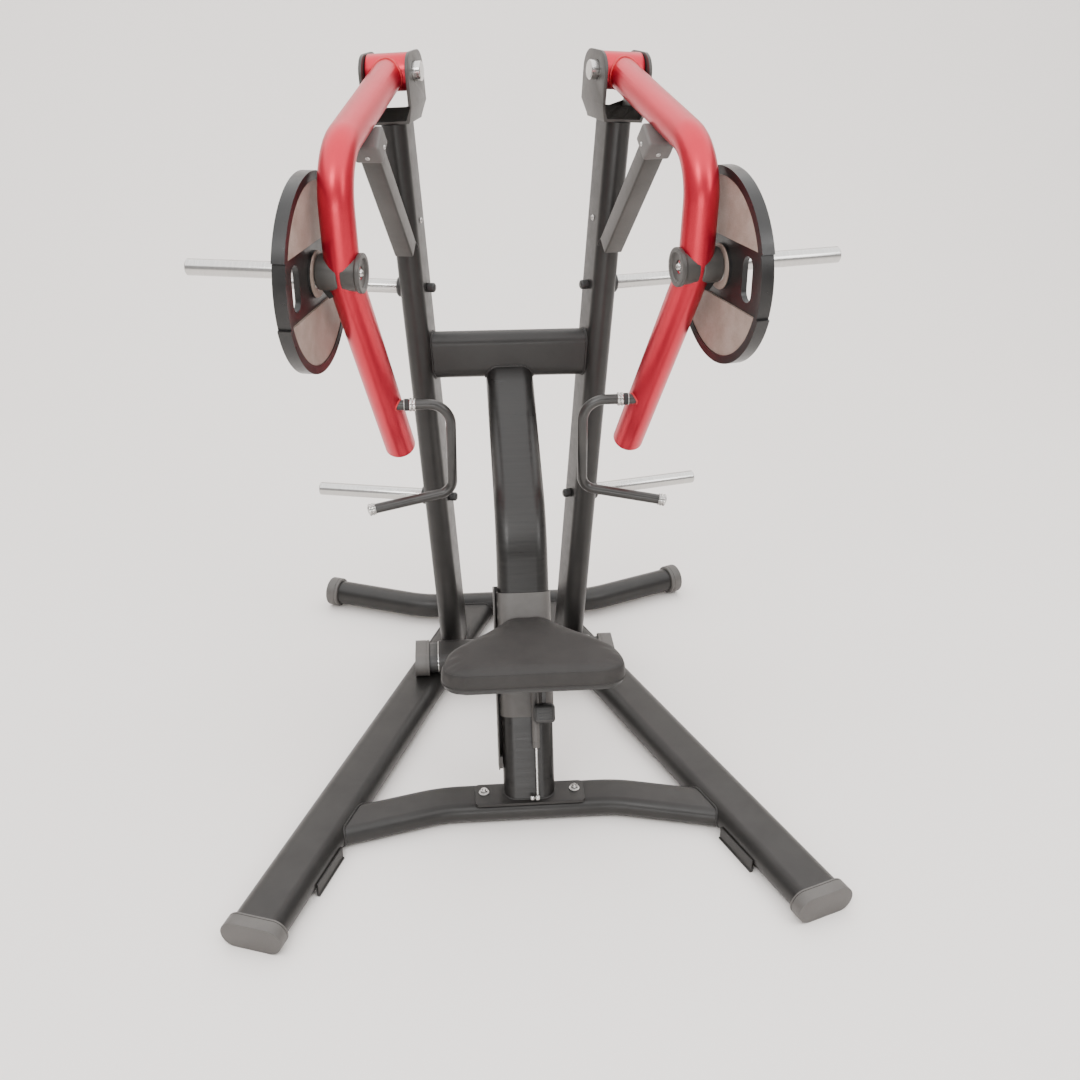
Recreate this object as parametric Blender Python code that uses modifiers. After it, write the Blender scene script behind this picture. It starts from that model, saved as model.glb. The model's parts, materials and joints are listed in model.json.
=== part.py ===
"""Plate-loaded chest press machine with two independent overhead-pivoted arms.

Metres, +Z up, floor at Z = 0. The feet and the open side of the machine face -Y,
and the uprights stand on the +Y side. "left" is the -X side.
"""

import math

import bmesh
import bpy
from mathutils import Matrix, Vector

# Clearances and resolution
GAP = 0.0003
OVAL_STEPS = 8

# Flat-oval frame tube
TUBE_W = 0.128
TUBE_H = 0.065
TUBE_WALL = 0.003

# Splayed legs
LEG_FRONT = (0.6285, -0.7371)
LEG_HEADING = math.radians(20.7)
LEG_LENGTH = 1.465
FOOT_CAP_W = 0.147
FOOT_CAP_H = 0.0670
FOOT_CAP_LENGTH = 0.036

# Cross tubes of the base
FRONT_TUBE_W = 0.110
FRONT_TUBE_H = 0.052
FRONT_TUBE_Z = 0.0290
FRONT_TUBE_Y = -0.341
FRONT_TUBE_BEND_X = 0.22
FRONT_TUBE_END = (0.50, -0.417)
REAR_TUBE_R = 0.0375
REAR_TUBE_Z = 0.046
REAR_TUBE_Y = 0.652
REAR_TUBE_BEND_X = 0.265
REAR_TUBE_END = (0.540, 0.768)
REAR_CAP_R = 0.0455
REAR_CAP_LENGTH = 0.040
FOOT_TUBE_Y = 0.252
FOOT_TUBE_HALF = 0.250
FOOT_TUBE_CAP_LENGTH = 0.040

# Floor brackets inside the legs
BRACKET_LENGTH = 0.136
BRACKET_FLANGE = 0.008
BRACKET_THICK = 0.005

# Column and its base plate
PLATE_SIZE = (0.274, 0.082, 0.007)
PLATE_Y = -0.351
BOLT_X = 0.114
COLUMN_LEAN = math.radians(22.3)
COLUMN_FOOT_Y = -0.342
COLUMN_CORNER_Z = 0.69
COLUMN_TOP = (0.385, 0.925)
COLUMN_BEND_R = 0.25

# Uprights and the upper cross beam
TOE = math.radians(13.0)
UPRIGHT_FOOT = (0.175, 0.4165, 0.0655)
UPRIGHT_TOP = (0.2705, 0.3860, 1.5740)
BEAM_Y = 0.390
BEAM_Z = 0.975

# Arm pivots
PIVOT = (0.283, 0.385, 1.695)
PIVOT_TILT = math.radians(3.6)
PIN_R = 0.0235
PIN_INNER = 0.081
PIN_OUTER = 0.074
HUB_R = 0.0445
HUB_HALF = 0.0515
HUB_BORE_R = 0.0245
CLEVIS_PLATE = 0.008
CLEVIS_INSIDE = 0.0535
CLEVIS_BASE_HALF = 0.046
CLEVIS_FRONT = 0.064
CLEVIS_BACK = 0.096
CLEVIS_TOP = 0.0460
CLEVIS_CORNER_R = 0.048
CLEVIS_BASE_DROP = 0.112
CLEVIS_BEND_DROP = 0.074

# Arms
ARM_R = 0.039
ARM_WALL = 0.0035
ARM_KNEE = (0.393, -0.166, 1.583)
ARM_TEE = (0.387, -0.160, 1.340)
ARM_END = (0.2972, 0.1367, 0.8189)
ARM_KNEE_R = 0.13
TEE_R = 0.0395
TEE_SLIT = 0.004
TEE_INNER = 0.047
TEE_OUTER = 0.0525
TEE_FLANGE_R = 0.0435
HORN_R = 0.0185
HORN_END = 0.355

# Weight plates
DISC_R = 0.2165
DISC_WAIST_R = 0.2105
DISC_RIM_R = 0.1975
DISC_THICK = 0.029
DISC_PANEL_THICK = 0.024
DISC_BAND_THICK = 0.013
DISC_BAND_HALF = 0.070
DISC_RING_R = 0.050
DISC_BORE_R = 0.0240
DISC_NEAR = 0.0545

# Handles
HANDLE_R = 0.0127
HANDLE_TOP_Z = 0.962
HANDLE_Y = 0.036
HANDLE_ROOT_X = 0.310
HANDLE_RING_X = 0.2575
HANDLE_GRIP_X = 0.164
HANDLE_LOW = (0.166, 0.042, 0.724)
HANDLE_TIP = (0.362, 0.017, 0.6930)
HANDLE_TIP_R = 0.0160
HANDLE_TIP_LENGTH = 0.020
HANDLE_TOP_BEND_R = 0.055
HANDLE_LOW_BEND_R = 0.036
HANDLE_RING_R = 0.0165

# Stop arms and rubber bumpers
STOP_SIZE = 0.048
STOP_FOOT = (0.2640, 0.318, 1.280)
STOP_TOP = (0.3256, 0.0745, 1.5680)
BUMPER_SIZE = (0.066, 0.066, 0.054)
BUMPER_COVERS = 0.022

# Storage horns
STORE_Z = (1.161, 0.548)
STORE_REACH = 0.353
STORE_COLLAR_R = 0.027

# Seat carriage
SLEEVE_CLEARANCE = 0.0006
SLEEVE_WALL = 0.0030
SLEEVE_START = 0.195
SLEEVE_LENGTH = 0.310
SEAT_TOP_Z = 0.495
SEAT_THICK = 0.060
SEAT_X = 0.0065
SEAT_ROWS = ((-0.190, 0.042), (-0.224, 0.068), (-0.266, 0.108), (-0.305, 0.155), (-0.345, 0.194),
             (-0.390, 0.215), (-0.436, 0.217), (-0.470, 0.182))
SPRING_X = 0.018
SPRING_OFFSET = 0.0480
SPRING_R = 0.0095
SPRING_ROD_R = 0.0035
RAIL_X = -0.0705
LEVER_HEIGHT = 0.292
LEVER_X = 0.038
LEVER_OFFSET = 0.078
LEVER_LENGTH = 0.055

# Distance that brings the middle of the footprint onto the origin
TO_CENTRE_Y = -0.0135034

PARTS = None
CUTTERS = None
MATERIALS = {}


# ---------------------------------------------------------------- scene set-up

def clear_scene():
    for obj in list(bpy.data.objects):
        bpy.data.objects.remove(obj, do_unlink=True)


def new_collection(name):
    collection = bpy.data.collections.new(name)
    bpy.context.scene.collection.children.link(collection)
    return collection


def add_material(name, color, metallic, roughness):
    material = bpy.data.materials.new(name)
    material.use_nodes = True
    shader = material.node_tree.nodes["Principled BSDF"]
    shader.inputs["Base Color"].default_value = (*color, 1.0)
    shader.inputs["Metallic"].default_value = metallic
    shader.inputs["Roughness"].default_value = roughness
    MATERIALS[name] = material


def link(name, data, matrix, cutter=False):
    obj = bpy.data.objects.new(name, data)
    (CUTTERS if cutter else PARTS).objects.link(obj)
    obj.matrix_world = matrix
    if cutter:
        obj.hide_render = True
        obj.display_type = "WIRE"
    return obj


def finish(obj, material, angle=35.0):
    """Gives the piece its material and smooth shading that keeps real edges sharp."""
    obj.data.materials.clear()
    obj.data.materials.append(MATERIALS[material])
    if obj.type == "MESH":
        obj.data.shade_smooth()
        obj.data.set_sharp_from_angle(angle=math.radians(angle))
    return obj


def hang(obj, pivot):
    """Parents a moving piece to the empty on its joint."""
    obj.parent = pivot
    obj.matrix_parent_inverse = pivot.matrix_world.inverted()


def add_pivot(name, matrix):
    empty = bpy.data.objects.new(name, None)
    empty.empty_display_size = 0.1
    PARTS.objects.link(empty)
    empty.matrix_world = matrix
    bpy.context.view_layer.update()
    return empty


# ------------------------------------------------------------------- geometry

def side_point(side, point):
    return Vector((side * point[0], point[1], point[2]))


def toed(side, origin):
    """Frame whose X axis is the arm's hinge direction on that side."""
    return Matrix.Translation(side_point(side, origin)) @ Matrix.Rotation(side * TOE, 4, "Z")


def pivot_frame(side):
    """Frame on an arm's hinge, level with the top of the leaning upright."""
    return toed(side, PIVOT) @ Matrix.Rotation(side * PIVOT_TILT, 4, "Y")


def along(origin, direction, across):
    """Frame with Z along the direction and X as near as possible to across."""
    z_axis = Vector(direction).normalized()
    y_axis = z_axis.cross(Vector(across)).normalized()
    x_axis = y_axis.cross(z_axis)
    turn = Matrix((x_axis, y_axis, z_axis)).transposed().to_4x4()
    return Matrix.Translation(Vector(origin)) @ turn


def oval_points(width, height, steps=OVAL_STEPS):
    radius = height / 2
    reach = width / 2 - radius
    points = []
    for centre, start in ((reach, -90), (-reach, 90)):
        for i in range(steps + 1):
            angle = math.radians(start + 180 * i / steps)
            points.append((centre + radius * math.cos(angle), radius * math.sin(angle)))
    return points


def circle_points(radius, steps=32):
    turn = [2 * math.pi * i / steps for i in range(steps)]
    return [(radius * math.cos(a), radius * math.sin(a)) for a in turn]


def fillet(points, radius, steps):
    """The path with each inner corner replaced by an arc."""
    points = [Vector(p) for p in points]
    path = [points[0]]
    for before, corner, after in zip(points, points[1:], points[2:]):
        a = (before - corner).normalized()
        b = (after - corner).normalized()
        half = a.angle(b) / 2
        if half > math.radians(89):
            path.append(corner)
            continue
        reach = radius / math.tan(half)
        centre = corner + (a + b).normalized() * (radius / math.sin(half))
        first = corner + a * reach - centre
        last = corner + b * reach - centre
        axis = first.cross(last).normalized()
        sweep = first.angle(last)
        for i in range(steps + 1):
            turn = Matrix.Rotation(sweep * i / steps, 3, axis)
            path.append(centre + turn @ first)
    path.append(points[-1])
    return path


def add_spline(curve, points, cyclic):
    spline = curve.splines.new("POLY")
    spline.points.add(len(points) - 1)
    for target, point in zip(spline.points, points):
        target.co = (*point, 0.0, 1.0) if len(point) == 2 else (*point, 1.0)
    spline.use_cyclic_u = cyclic


def mesh_of(obj):
    """Turns a curve object into a mesh object of the same name."""
    bpy.context.view_layer.update()
    graph = bpy.context.evaluated_depsgraph_get()
    mesh = bpy.data.meshes.new_from_object(obj.evaluated_get(graph))
    shape = bmesh.new()
    shape.from_mesh(mesh)
    bmesh.ops.remove_doubles(shape, verts=shape.verts, dist=0.00001)
    bmesh.ops.recalc_face_normals(shape, faces=shape.faces)
    shape.to_mesh(mesh)
    shape.free()
    name = obj.name
    cutter = obj.name in CUTTERS.objects
    matrix = obj.matrix_world.copy()
    curve = obj.data
    bpy.data.objects.remove(obj, do_unlink=True)
    bpy.data.curves.remove(curve)
    return link(name, mesh, matrix, cutter)


def outline(name, loops, thickness, matrix, cutter=False):
    """Flat outline with holes, thickened evenly about its plane."""
    curve = bpy.data.curves.new(name, "CURVE")
    curve.dimensions = "2D"
    curve.fill_mode = "BOTH"
    curve.extrude = thickness / 2
    for loop in loops:
        add_spline(curve, loop, True)
    return mesh_of(link(name, curve, matrix, cutter))


def oval_tube(name, start, end, across, width, height, wall, cutter=False):
    """Straight flat-oval tube, open at both ends, or solid when wall is zero."""
    start, end = Vector(start), Vector(end)
    loops = [oval_points(width, height)]
    if wall:
        loops.append(oval_points(width - 2 * wall, height - 2 * wall))
    middle = (start + end) / 2
    matrix = along(middle, end - start, across)
    return outline(name, loops, (end - start).length, matrix, cutter)


def bent_oval(name, path, width, height, wall, cutter=False):
    """Flat-oval tube swept along a path, with the oval's width level."""
    profile = bpy.data.curves.new(name + "_profile", "CURVE")
    profile.dimensions = "2D"
    add_spline(profile, oval_points(width, height), True)
    guide = link(name + "_profile", profile, Matrix.Identity(4), cutter=True)
    curve = bpy.data.curves.new(name, "CURVE")
    curve.dimensions = "3D"
    curve.twist_mode = "Z_UP"
    curve.bevel_mode = "OBJECT"
    curve.bevel_object = guide
    curve.use_fill_caps = not wall
    add_spline(curve, path, False)
    obj = mesh_of(link(name, curve, Matrix.Identity(4), cutter))
    bpy.data.objects.remove(guide, do_unlink=True)
    if wall:
        hollow(obj, wall)
    return obj


def bent_round(name, path, radius, wall=0.0, resolution=3, cutter=False):
    """Round tube or bar swept along a path."""
    curve = bpy.data.curves.new(name, "CURVE")
    curve.dimensions = "3D"
    curve.bevel_depth = radius
    curve.bevel_resolution = resolution
    curve.use_fill_caps = not wall
    add_spline(curve, path, False)
    obj = mesh_of(link(name, curve, Matrix.Identity(4), cutter))
    if wall:
        hollow(obj, wall)
    return obj


def hollow(obj, wall):
    shell = obj.modifiers.new("wall", "SOLIDIFY")
    shell.thickness = wall
    shell.offset = -1.0
    shell.use_rim = True


def turned(name, profile, matrix, steps=24):
    """Solid of revolution about local Z from (radius, z) points, top to bottom."""
    mesh = bpy.data.meshes.new(name)
    shape = bmesh.new()
    points = [shape.verts.new((radius, 0.0, z)) for radius, z in profile]
    for a, b in zip(points, points[1:]):
        shape.edges.new((a, b))
    if profile[0][0] > 0:
        shape.edges.new((points[-1], points[0]))
    shape.to_mesh(mesh)
    shape.free()
    obj = link(name, mesh, matrix)
    screw = obj.modifiers.new("turn", "SCREW")
    screw.axis = "Z"
    screw.angle = 2 * math.pi
    screw.steps = steps
    screw.render_steps = steps
    screw.use_merge_vertices = True
    screw.merge_threshold = 0.00001
    screw.use_smooth_shade = True
    return obj


def block(name, size, matrix, cutter=False):
    mesh = bpy.data.meshes.new(name)
    shape = bmesh.new()
    bmesh.ops.create_cube(shape, size=1.0)
    bmesh.ops.scale(shape, vec=size, verts=shape.verts)
    shape.to_mesh(mesh)
    shape.free()
    return link(name, mesh, matrix, cutter)


def rod(name, radius, length, matrix, steps=24, cutter=False):
    """Cylinder centred on the frame's origin, along its Z."""
    mesh = bpy.data.meshes.new(name)
    shape = bmesh.new()
    bmesh.ops.create_cone(shape, cap_ends=True, segments=steps, radius1=radius,
                          radius2=radius, depth=length)
    shape.to_mesh(mesh)
    shape.free()
    return link(name, mesh, matrix, cutter)


def boolean(obj, other, operation="DIFFERENCE"):
    step = obj.modifiers.new(operation.lower(), "BOOLEAN")
    step.operation = operation
    step.solver = "EXACT"
    step.object = other


def round_edges(obj, width, segments=2, angle=40.0):
    step = obj.modifiers.new("edges", "BEVEL")
    step.width = width
    step.segments = segments
    step.limit_method = "ANGLE"
    step.angle_limit = math.radians(angle)


# ----------------------------------------------------------------------- base

def leg_direction(side):
    return Vector((-side * math.sin(LEG_HEADING), math.cos(LEG_HEADING), 0.0))


def leg_ends(side):
    start = Vector((side * LEG_FRONT[0], LEG_FRONT[1], TUBE_H / 2))
    return start, start + leg_direction(side) * LEG_LENGTH


def rear_tube_path():
    x, y = REAR_TUBE_END
    corners = [(-x, y), (-REAR_TUBE_BEND_X, REAR_TUBE_Y), (REAR_TUBE_BEND_X, REAR_TUBE_Y), (x, y)]
    return fillet([(*p, REAR_TUBE_Z) for p in corners], 0.30, 5)


def add_leg(side, word):
    start, end = leg_ends(side)
    across = Vector((math.cos(LEG_HEADING), side * math.sin(LEG_HEADING), 0.0))
    leg = oval_tube(word + "_leg", start, end, across, TUBE_W, TUBE_H, TUBE_WALL)
    cope = bent_round(word + "_leg_cope", rear_tube_path(), REAR_TUBE_R + 2 * GAP, 0.0, 3, True)
    boolean(leg, cope)
    finish(leg, "frame_paint")
    reach = FOOT_CAP_LENGTH / 2 + GAP
    centre = start - leg_direction(side) * reach
    centre.z = FOOT_CAP_H / 2
    cap = outline(word + "_foot_cap", [oval_points(FOOT_CAP_W, FOOT_CAP_H)], FOOT_CAP_LENGTH,
                  along(centre, leg_direction(side), across))
    round_edges(cap, 0.005, 2)
    finish(cap, "grey_plastic")


def add_floor_bracket(side, word):
    """Angle bolted to the floor, its upright flange against the inner side of the leg."""
    inward = Vector((-side * math.cos(LEG_HEADING), -math.sin(LEG_HEADING), 0.0))
    start, _ = leg_ends(side)
    centre = start + leg_direction(side) * 0.225 + inward * (TUBE_W / 2 + GAP)
    centre.z = 0.0
    high = 0.034
    corners = [(0.0, 0.0), (BRACKET_FLANGE, 0.0), (BRACKET_FLANGE, BRACKET_THICK),
               (BRACKET_THICK, BRACKET_THICK), (BRACKET_THICK, high), (0.0, high)]
    z_axis = leg_direction(side)
    turn = Matrix((inward, Vector((0.0, 0.0, 1.0)), z_axis * side)).transposed().to_4x4()
    bracket = outline(word + "_floor_bracket", [corners], BRACKET_LENGTH,
                      Matrix.Translation(centre) @ turn)
    finish(bracket, "frame_paint")


def add_front_cross_tube():
    x, y = FRONT_TUBE_END
    corners = [(-x, y), (-FRONT_TUBE_BEND_X, FRONT_TUBE_Y), (FRONT_TUBE_BEND_X, FRONT_TUBE_Y), (x, y)]
    path = fillet([(*p, FRONT_TUBE_Z) for p in corners], 0.35, 4)
    tube = bent_oval("front_cross_tube", path, FRONT_TUBE_W, FRONT_TUBE_H, TUBE_WALL)
    for side, word in ((-1, "left"), (1, "right")):
        start, end = leg_ends(side)
        across = Vector((math.cos(LEG_HEADING), side * math.sin(LEG_HEADING), 0.0))
        cope = oval_tube(word + "_front_cope", start, end, across, TUBE_W + 2 * GAP,
                         TUBE_H + 2 * GAP, 0.0, True)
        outside = block(word + "_front_trim", (0.12, 0.4, 0.2),
                        Matrix.Translation((side * 0.545, -0.42, 0.03)), True)
        boolean(tube, cope)
        boolean(tube, outside)
    finish(tube, "frame_paint")


def add_rear_cross_tube():
    tube = bent_round("rear_cross_tube", rear_tube_path(), REAR_TUBE_R, TUBE_WALL, 3)
    finish(tube, "frame_paint")
    path = rear_tube_path()
    for word, tip, inner in (("left", path[0], path[1]), ("right", path[-1], path[-2])):
        outward = (tip - inner).normalized()
        frame = along(tip + outward * GAP, outward, (0, 0, 1))
        r, h = REAR_CAP_R, REAR_CAP_LENGTH
        cap = turned(word + "_rear_cap", [(0, h), (r - 0.006, h), (r, h - 0.006), (r, 0), (0, 0)],
                     frame)
        finish(cap, "grey_plastic")


def add_foot_cross_tube():
    z = TUBE_H + GAP + TUBE_H / 2
    half = FOOT_TUBE_HALF
    tube = oval_tube("foot_cross_tube", (-half, FOOT_TUBE_Y, z), (half, FOOT_TUBE_Y, z),
                     (0, 1, 0), TUBE_W, TUBE_H, TUBE_WALL)
    finish(tube, "frame_paint")
    for side, word in ((-1, "left"), (1, "right")):
        x = side * (half + GAP + FOOT_TUBE_CAP_LENGTH / 2)
        cap = outline(word + "_foot_tube_cap", [oval_points(TUBE_W + 0.012, TUBE_H)],
                      FOOT_TUBE_CAP_LENGTH, along((x, FOOT_TUBE_Y, z), (1, 0, 0), (0, 1, 0)))
        round_edges(cap, 0.005, 2)
        finish(cap, "grey_plastic")


# --------------------------------------------------------------------- column

def column_top():
    return FRONT_TUBE_Z + FRONT_TUBE_H / 2 + GAP + PLATE_SIZE[2]


def add_base_plate():
    z = FRONT_TUBE_Z + FRONT_TUBE_H / 2 + GAP + PLATE_SIZE[2] / 2
    w, d = PLATE_SIZE[0] / 2, PLATE_SIZE[1] / 2
    corner = 0.008
    loop = [(-w + corner, -d), (w - corner, -d), (w, -d + corner), (w, d - corner),
            (w - corner, d), (-w + corner, d), (-w, d - corner), (-w, -d + corner)]
    plate = outline("column_base_plate", [loop], PLATE_SIZE[2],
                    Matrix.Translation((0.0, PLATE_Y, z)))
    finish(plate, "frame_paint")
    for side, word in ((-1, "left"), (1, "right")):
        z_top = column_top() + GAP
        frame = Matrix.Translation((side * BOLT_X, PLATE_Y + 0.008, z_top))
        profile = [(0, 0.0125), (0.0055, 0.0125), (0.0075, 0.0105), (0.0078, 0.0045),
                   (0.0125, 0.0040), (0.0130, 0.0), (0, 0)]
        bolt = turned(word + "_base_bolt", profile, frame, 12)
        finish(bolt, "chrome")


def column_path():
    lean = math.tan(COLUMN_LEAN)
    z0 = column_top() + GAP
    corner = (0.0, COLUMN_FOOT_Y + lean * (COLUMN_CORNER_Z - z0), COLUMN_CORNER_Z)
    points = [(0.0, COLUMN_FOOT_Y - lean * 0.05, z0 - 0.05), corner, (0.0, *COLUMN_TOP)]
    return fillet(points, COLUMN_BEND_R, 7)


def add_column():
    column = bent_oval("seat_column", column_path(), TUBE_W, TUBE_H, TUBE_WALL)
    below = block("column_foot_trim", (0.4, 0.4, 0.2),
                  Matrix.Translation((0.0, COLUMN_FOOT_Y, column_top() + GAP - 0.1)), True)
    cope = oval_tube("column_cope", (-0.2, BEAM_Y, BEAM_Z), (0.2, BEAM_Y, BEAM_Z), (0, 0, 1),
                     TUBE_W + 2 * GAP, TUBE_H + 2 * GAP, 0.0, True)
    boolean(column, below)
    boolean(column, cope)
    finish(column, "frame_paint")


# ------------------------------------------------------------------- uprights

def upright_across(side):
    """Direction of the long side of the upright's oval."""
    return Vector((side * math.sin(TOE), -math.cos(TOE), 0.0))


def add_upright(side, word):
    foot, top = side_point(side, UPRIGHT_FOOT), side_point(side, UPRIGHT_TOP)
    up = (top - foot).normalized()
    tube = oval_tube(word + "_upright", foot - up * 0.03, top + up * 0.03, upright_across(side),
                     TUBE_W, TUBE_H, TUBE_WALL)
    under = -CLEVIS_BASE_DROP - CLEVIS_PLATE / 2 - GAP
    below = Matrix.Translation((side * 0.22, 0.40, TUBE_H + GAP - 0.1))
    above = pivot_frame(side) @ Matrix.Translation((0.0, 0.0, under + 0.1))
    for end, frame in (("foot", below), ("top", above)):
        boolean(tube, block(f"{word}_upright_{end}_trim", (0.4, 0.4, 0.2), frame, True))
    finish(tube, "frame_paint")


def add_cross_beam():
    beam = oval_tube("cross_beam", (-0.26, BEAM_Y, BEAM_Z), (0.26, BEAM_Y, BEAM_Z), (0, 0, 1),
                     TUBE_W, TUBE_H, TUBE_WALL)
    for side, word in ((-1, "left"), (1, "right")):
        foot, top = side_point(side, UPRIGHT_FOOT), side_point(side, UPRIGHT_TOP)
        cope = oval_tube(word + "_beam_cope", foot, top, upright_across(side), TUBE_W + 2 * GAP,
                         TUBE_H + 2 * GAP, 0.0, True)
        outside = block(word + "_beam_trim", (0.12, 0.4, 0.4),
                        Matrix.Translation((side * (0.233 + 0.06), BEAM_Y, BEAM_Z)), True)
        boolean(beam, cope)
        boolean(beam, outside)
    finish(beam, "frame_paint")


def rounded_cheek():
    """Side view of the fork in its own frame: round-cornered top, tapered foot."""
    front, back, top, r = -CLEVIS_FRONT, CLEVIS_BACK, CLEVIS_TOP, CLEVIS_CORNER_R
    base = -CLEVIS_BASE_DROP
    loop = [(front + 0.010, base - 0.02), (back - 0.022, base - 0.02), (back - 0.022, base + 0.003),
            (back, -CLEVIS_BEND_DROP)]
    for centre, start in ((back - r, 0), (front + r, 90)):
        for i in range(6):
            angle = math.radians(start + 90 * i / 5)
            loop.append((centre + r * math.cos(angle), top - r + r * math.sin(angle)))
    loop += [(front, -CLEVIS_BEND_DROP), (front + 0.010, base + 0.003)]
    return loop


def add_clevis(side, word):
    """Bent-plate fork: base on the upright, flared flanks, two round-topped cheeks."""
    half = CLEVIS_PLATE / 2
    top, bend, base = CLEVIS_TOP + 0.02, -CLEVIS_BEND_DROP, -CLEVIS_BASE_DROP
    out_x = CLEVIS_INSIDE + CLEVIS_PLATE
    loop = [(out_x, top), (CLEVIS_INSIDE, top), (CLEVIS_INSIDE, bend),
            (CLEVIS_BASE_HALF - half, base + half), (-CLEVIS_BASE_HALF + half, base + half),
            (-CLEVIS_INSIDE, bend), (-CLEVIS_INSIDE, top), (-out_x, top), (-out_x, bend - 0.001),
            (-CLEVIS_BASE_HALF - half, base - half), (CLEVIS_BASE_HALF + half, base - half),
            (out_x, bend - 0.001)]
    frame = pivot_frame(side)
    clevis = outline(word + "_clevis", [loop], 0.24, frame @ Matrix.Rotation(math.radians(90), 4, "X"))
    sideways = frame @ Matrix.Rotation(math.radians(90), 4, "Z") @ Matrix.Rotation(
        math.radians(90), 4, "X")
    window = outline(word + "_clevis_window", [rounded_cheek()], 0.2, sideways, True)
    boolean(clevis, window, "INTERSECT")
    bore = rod(word + "_clevis_bore", PIN_R + 0.0004, 0.3,
               frame @ Matrix.Rotation(math.radians(90), 4, "Y"), 24, True)
    boolean(clevis, bore)
    finish(clevis, "frame_paint")


def add_pin(side, word):
    frame = pivot_frame(side) @ Matrix.Rotation(math.radians(90) * side, 4, "Y")
    a, b, r, c = PIN_INNER, PIN_OUTER, PIN_R, 0.0015
    pin = turned(word + "_pivot_pin", [(0, b), (r - c, b), (r, b - c), (r, -a + c), (r - c, -a),
                                       (0, -a)], frame)
    finish(pin, "chrome")


def add_stop(side, word):
    foot, top = side_point(side, STOP_FOOT), side_point(side, STOP_TOP)
    inner = STOP_SIZE / 2 - 0.003
    outer = STOP_SIZE / 2
    loops = [[(-h, -h), (h, -h), (h, h), (-h, h)] for h in (outer, inner)]
    across = Vector((math.cos(TOE), side * math.sin(TOE), 0.0))
    frame = along((foot + top) / 2, top - foot, across)
    arm = outline(word + "_stop_arm", loops, (top - foot).length, frame)
    cope = oval_tube(word + "_stop_cope", side_point(side, UPRIGHT_FOOT),
                     side_point(side, UPRIGHT_TOP), upright_across(side), TUBE_W + 2 * GAP,
                     TUBE_H + 2 * GAP, 0.0, True)
    boolean(arm, cope)
    finish(arm, "frame_paint")


def add_bumper(side, word):
    """Rubber block over the end of the stop arm, dished where the arm tube rests."""
    foot, top = side_point(side, STOP_FOOT), side_point(side, STOP_TOP)
    direction = (top - foot).normalized()
    across = Vector((math.cos(TOE), side * math.sin(TOE), 0.0))
    centre = top + direction * (BUMPER_SIZE[2] / 2 - BUMPER_COVERS)
    bumper = block(word + "_bumper", BUMPER_SIZE, along(centre, direction, across))
    round_edges(bumper, 0.006, 2)
    core = block(word + "_bumper_core", (STOP_SIZE + 2 * GAP, STOP_SIZE + 2 * GAP, 0.1),
                 along(top + direction * (GAP - 0.05), direction, across), True)
    seat = bent_round(word + "_bumper_seat", arm_path(side), ARM_R + 0.0006, 0.0, 4, True)
    boolean(bumper, core)
    boolean(bumper, seat)
    finish(bumper, "grey_rubber")


def add_storage_horn(side, word, level):
    z = STORE_Z[level]
    foot, top = Vector(UPRIGHT_FOOT), Vector(UPRIGHT_TOP)
    centre = foot + (top - foot) * ((z - foot.z) / (top.z - foot.z))
    frame = toed(side, centre) @ Matrix.Rotation(math.radians(90) * side, 4, "Y")
    face = TUBE_H / 2 + 0.0022
    r, c, h = HORN_R, STORE_COLLAR_R, STORE_REACH
    profile = [(0, h), (r - 0.002, h), (r, h - 0.002), (r, face + 0.012), (c - 0.002, face + 0.012),
               (c, face + 0.010), (c, face), (0, face)]
    horn = turned(f"{word}_storage_horn_{'upper' if level == 0 else 'lower'}", profile, frame, 20)
    finish(horn, "chrome")


# ----------------------------------------------------------------------- arms

def arm_path(side):
    points = [side_point(side, p) for p in (PIVOT, ARM_KNEE, ARM_TEE, ARM_END)]
    knee = fillet(points[:3], ARM_KNEE_R, 9)
    bend = fillet([knee[-2], points[2], points[3]], 0.09, 4)
    return knee[:-2] + bend


def add_arm(side, word, pivot):
    tube = bent_round(word + "_arm_tube", arm_path(side), ARM_R, ARM_WALL, 4)
    cope = rod(word + "_arm_cope", HUB_R + GAP, 0.2,
               pivot_frame(side) @ Matrix.Rotation(math.radians(90), 4, "Y"), 32, True)
    boolean(tube, cope)
    hang(finish(tube, "red_paint"), pivot)

    frame = pivot_frame(side) @ Matrix.Rotation(math.radians(90), 4, "Y")
    r, b, h, c = HUB_R, HUB_BORE_R, HUB_HALF, 0.002
    hub = turned(word + "_pivot_hub", [(b, h), (r - c, h), (r, h - c), (r, c - h), (r - c, -h),
                                       (b, -h)], frame, 32)
    hang(finish(hub, "red_paint"), pivot)

    path = arm_path(side)
    down = (path[-1] - path[-2]).normalized()
    r = ARM_R
    dome = [(r * math.cos(a), 0.016 * math.sin(a) + 0.003) for a in
            [math.pi / 2 * i / 4 for i in range(4, -1, -1)]]
    dome[0] = (0.0, 0.019)
    end = turned(word + "_arm_end", dome + [(r, 0), (0, 0)],
                 along(path[-1] + down * GAP, down, (1, 0, 0)), 20)
    hang(finish(end, "red_paint"), pivot)


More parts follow.
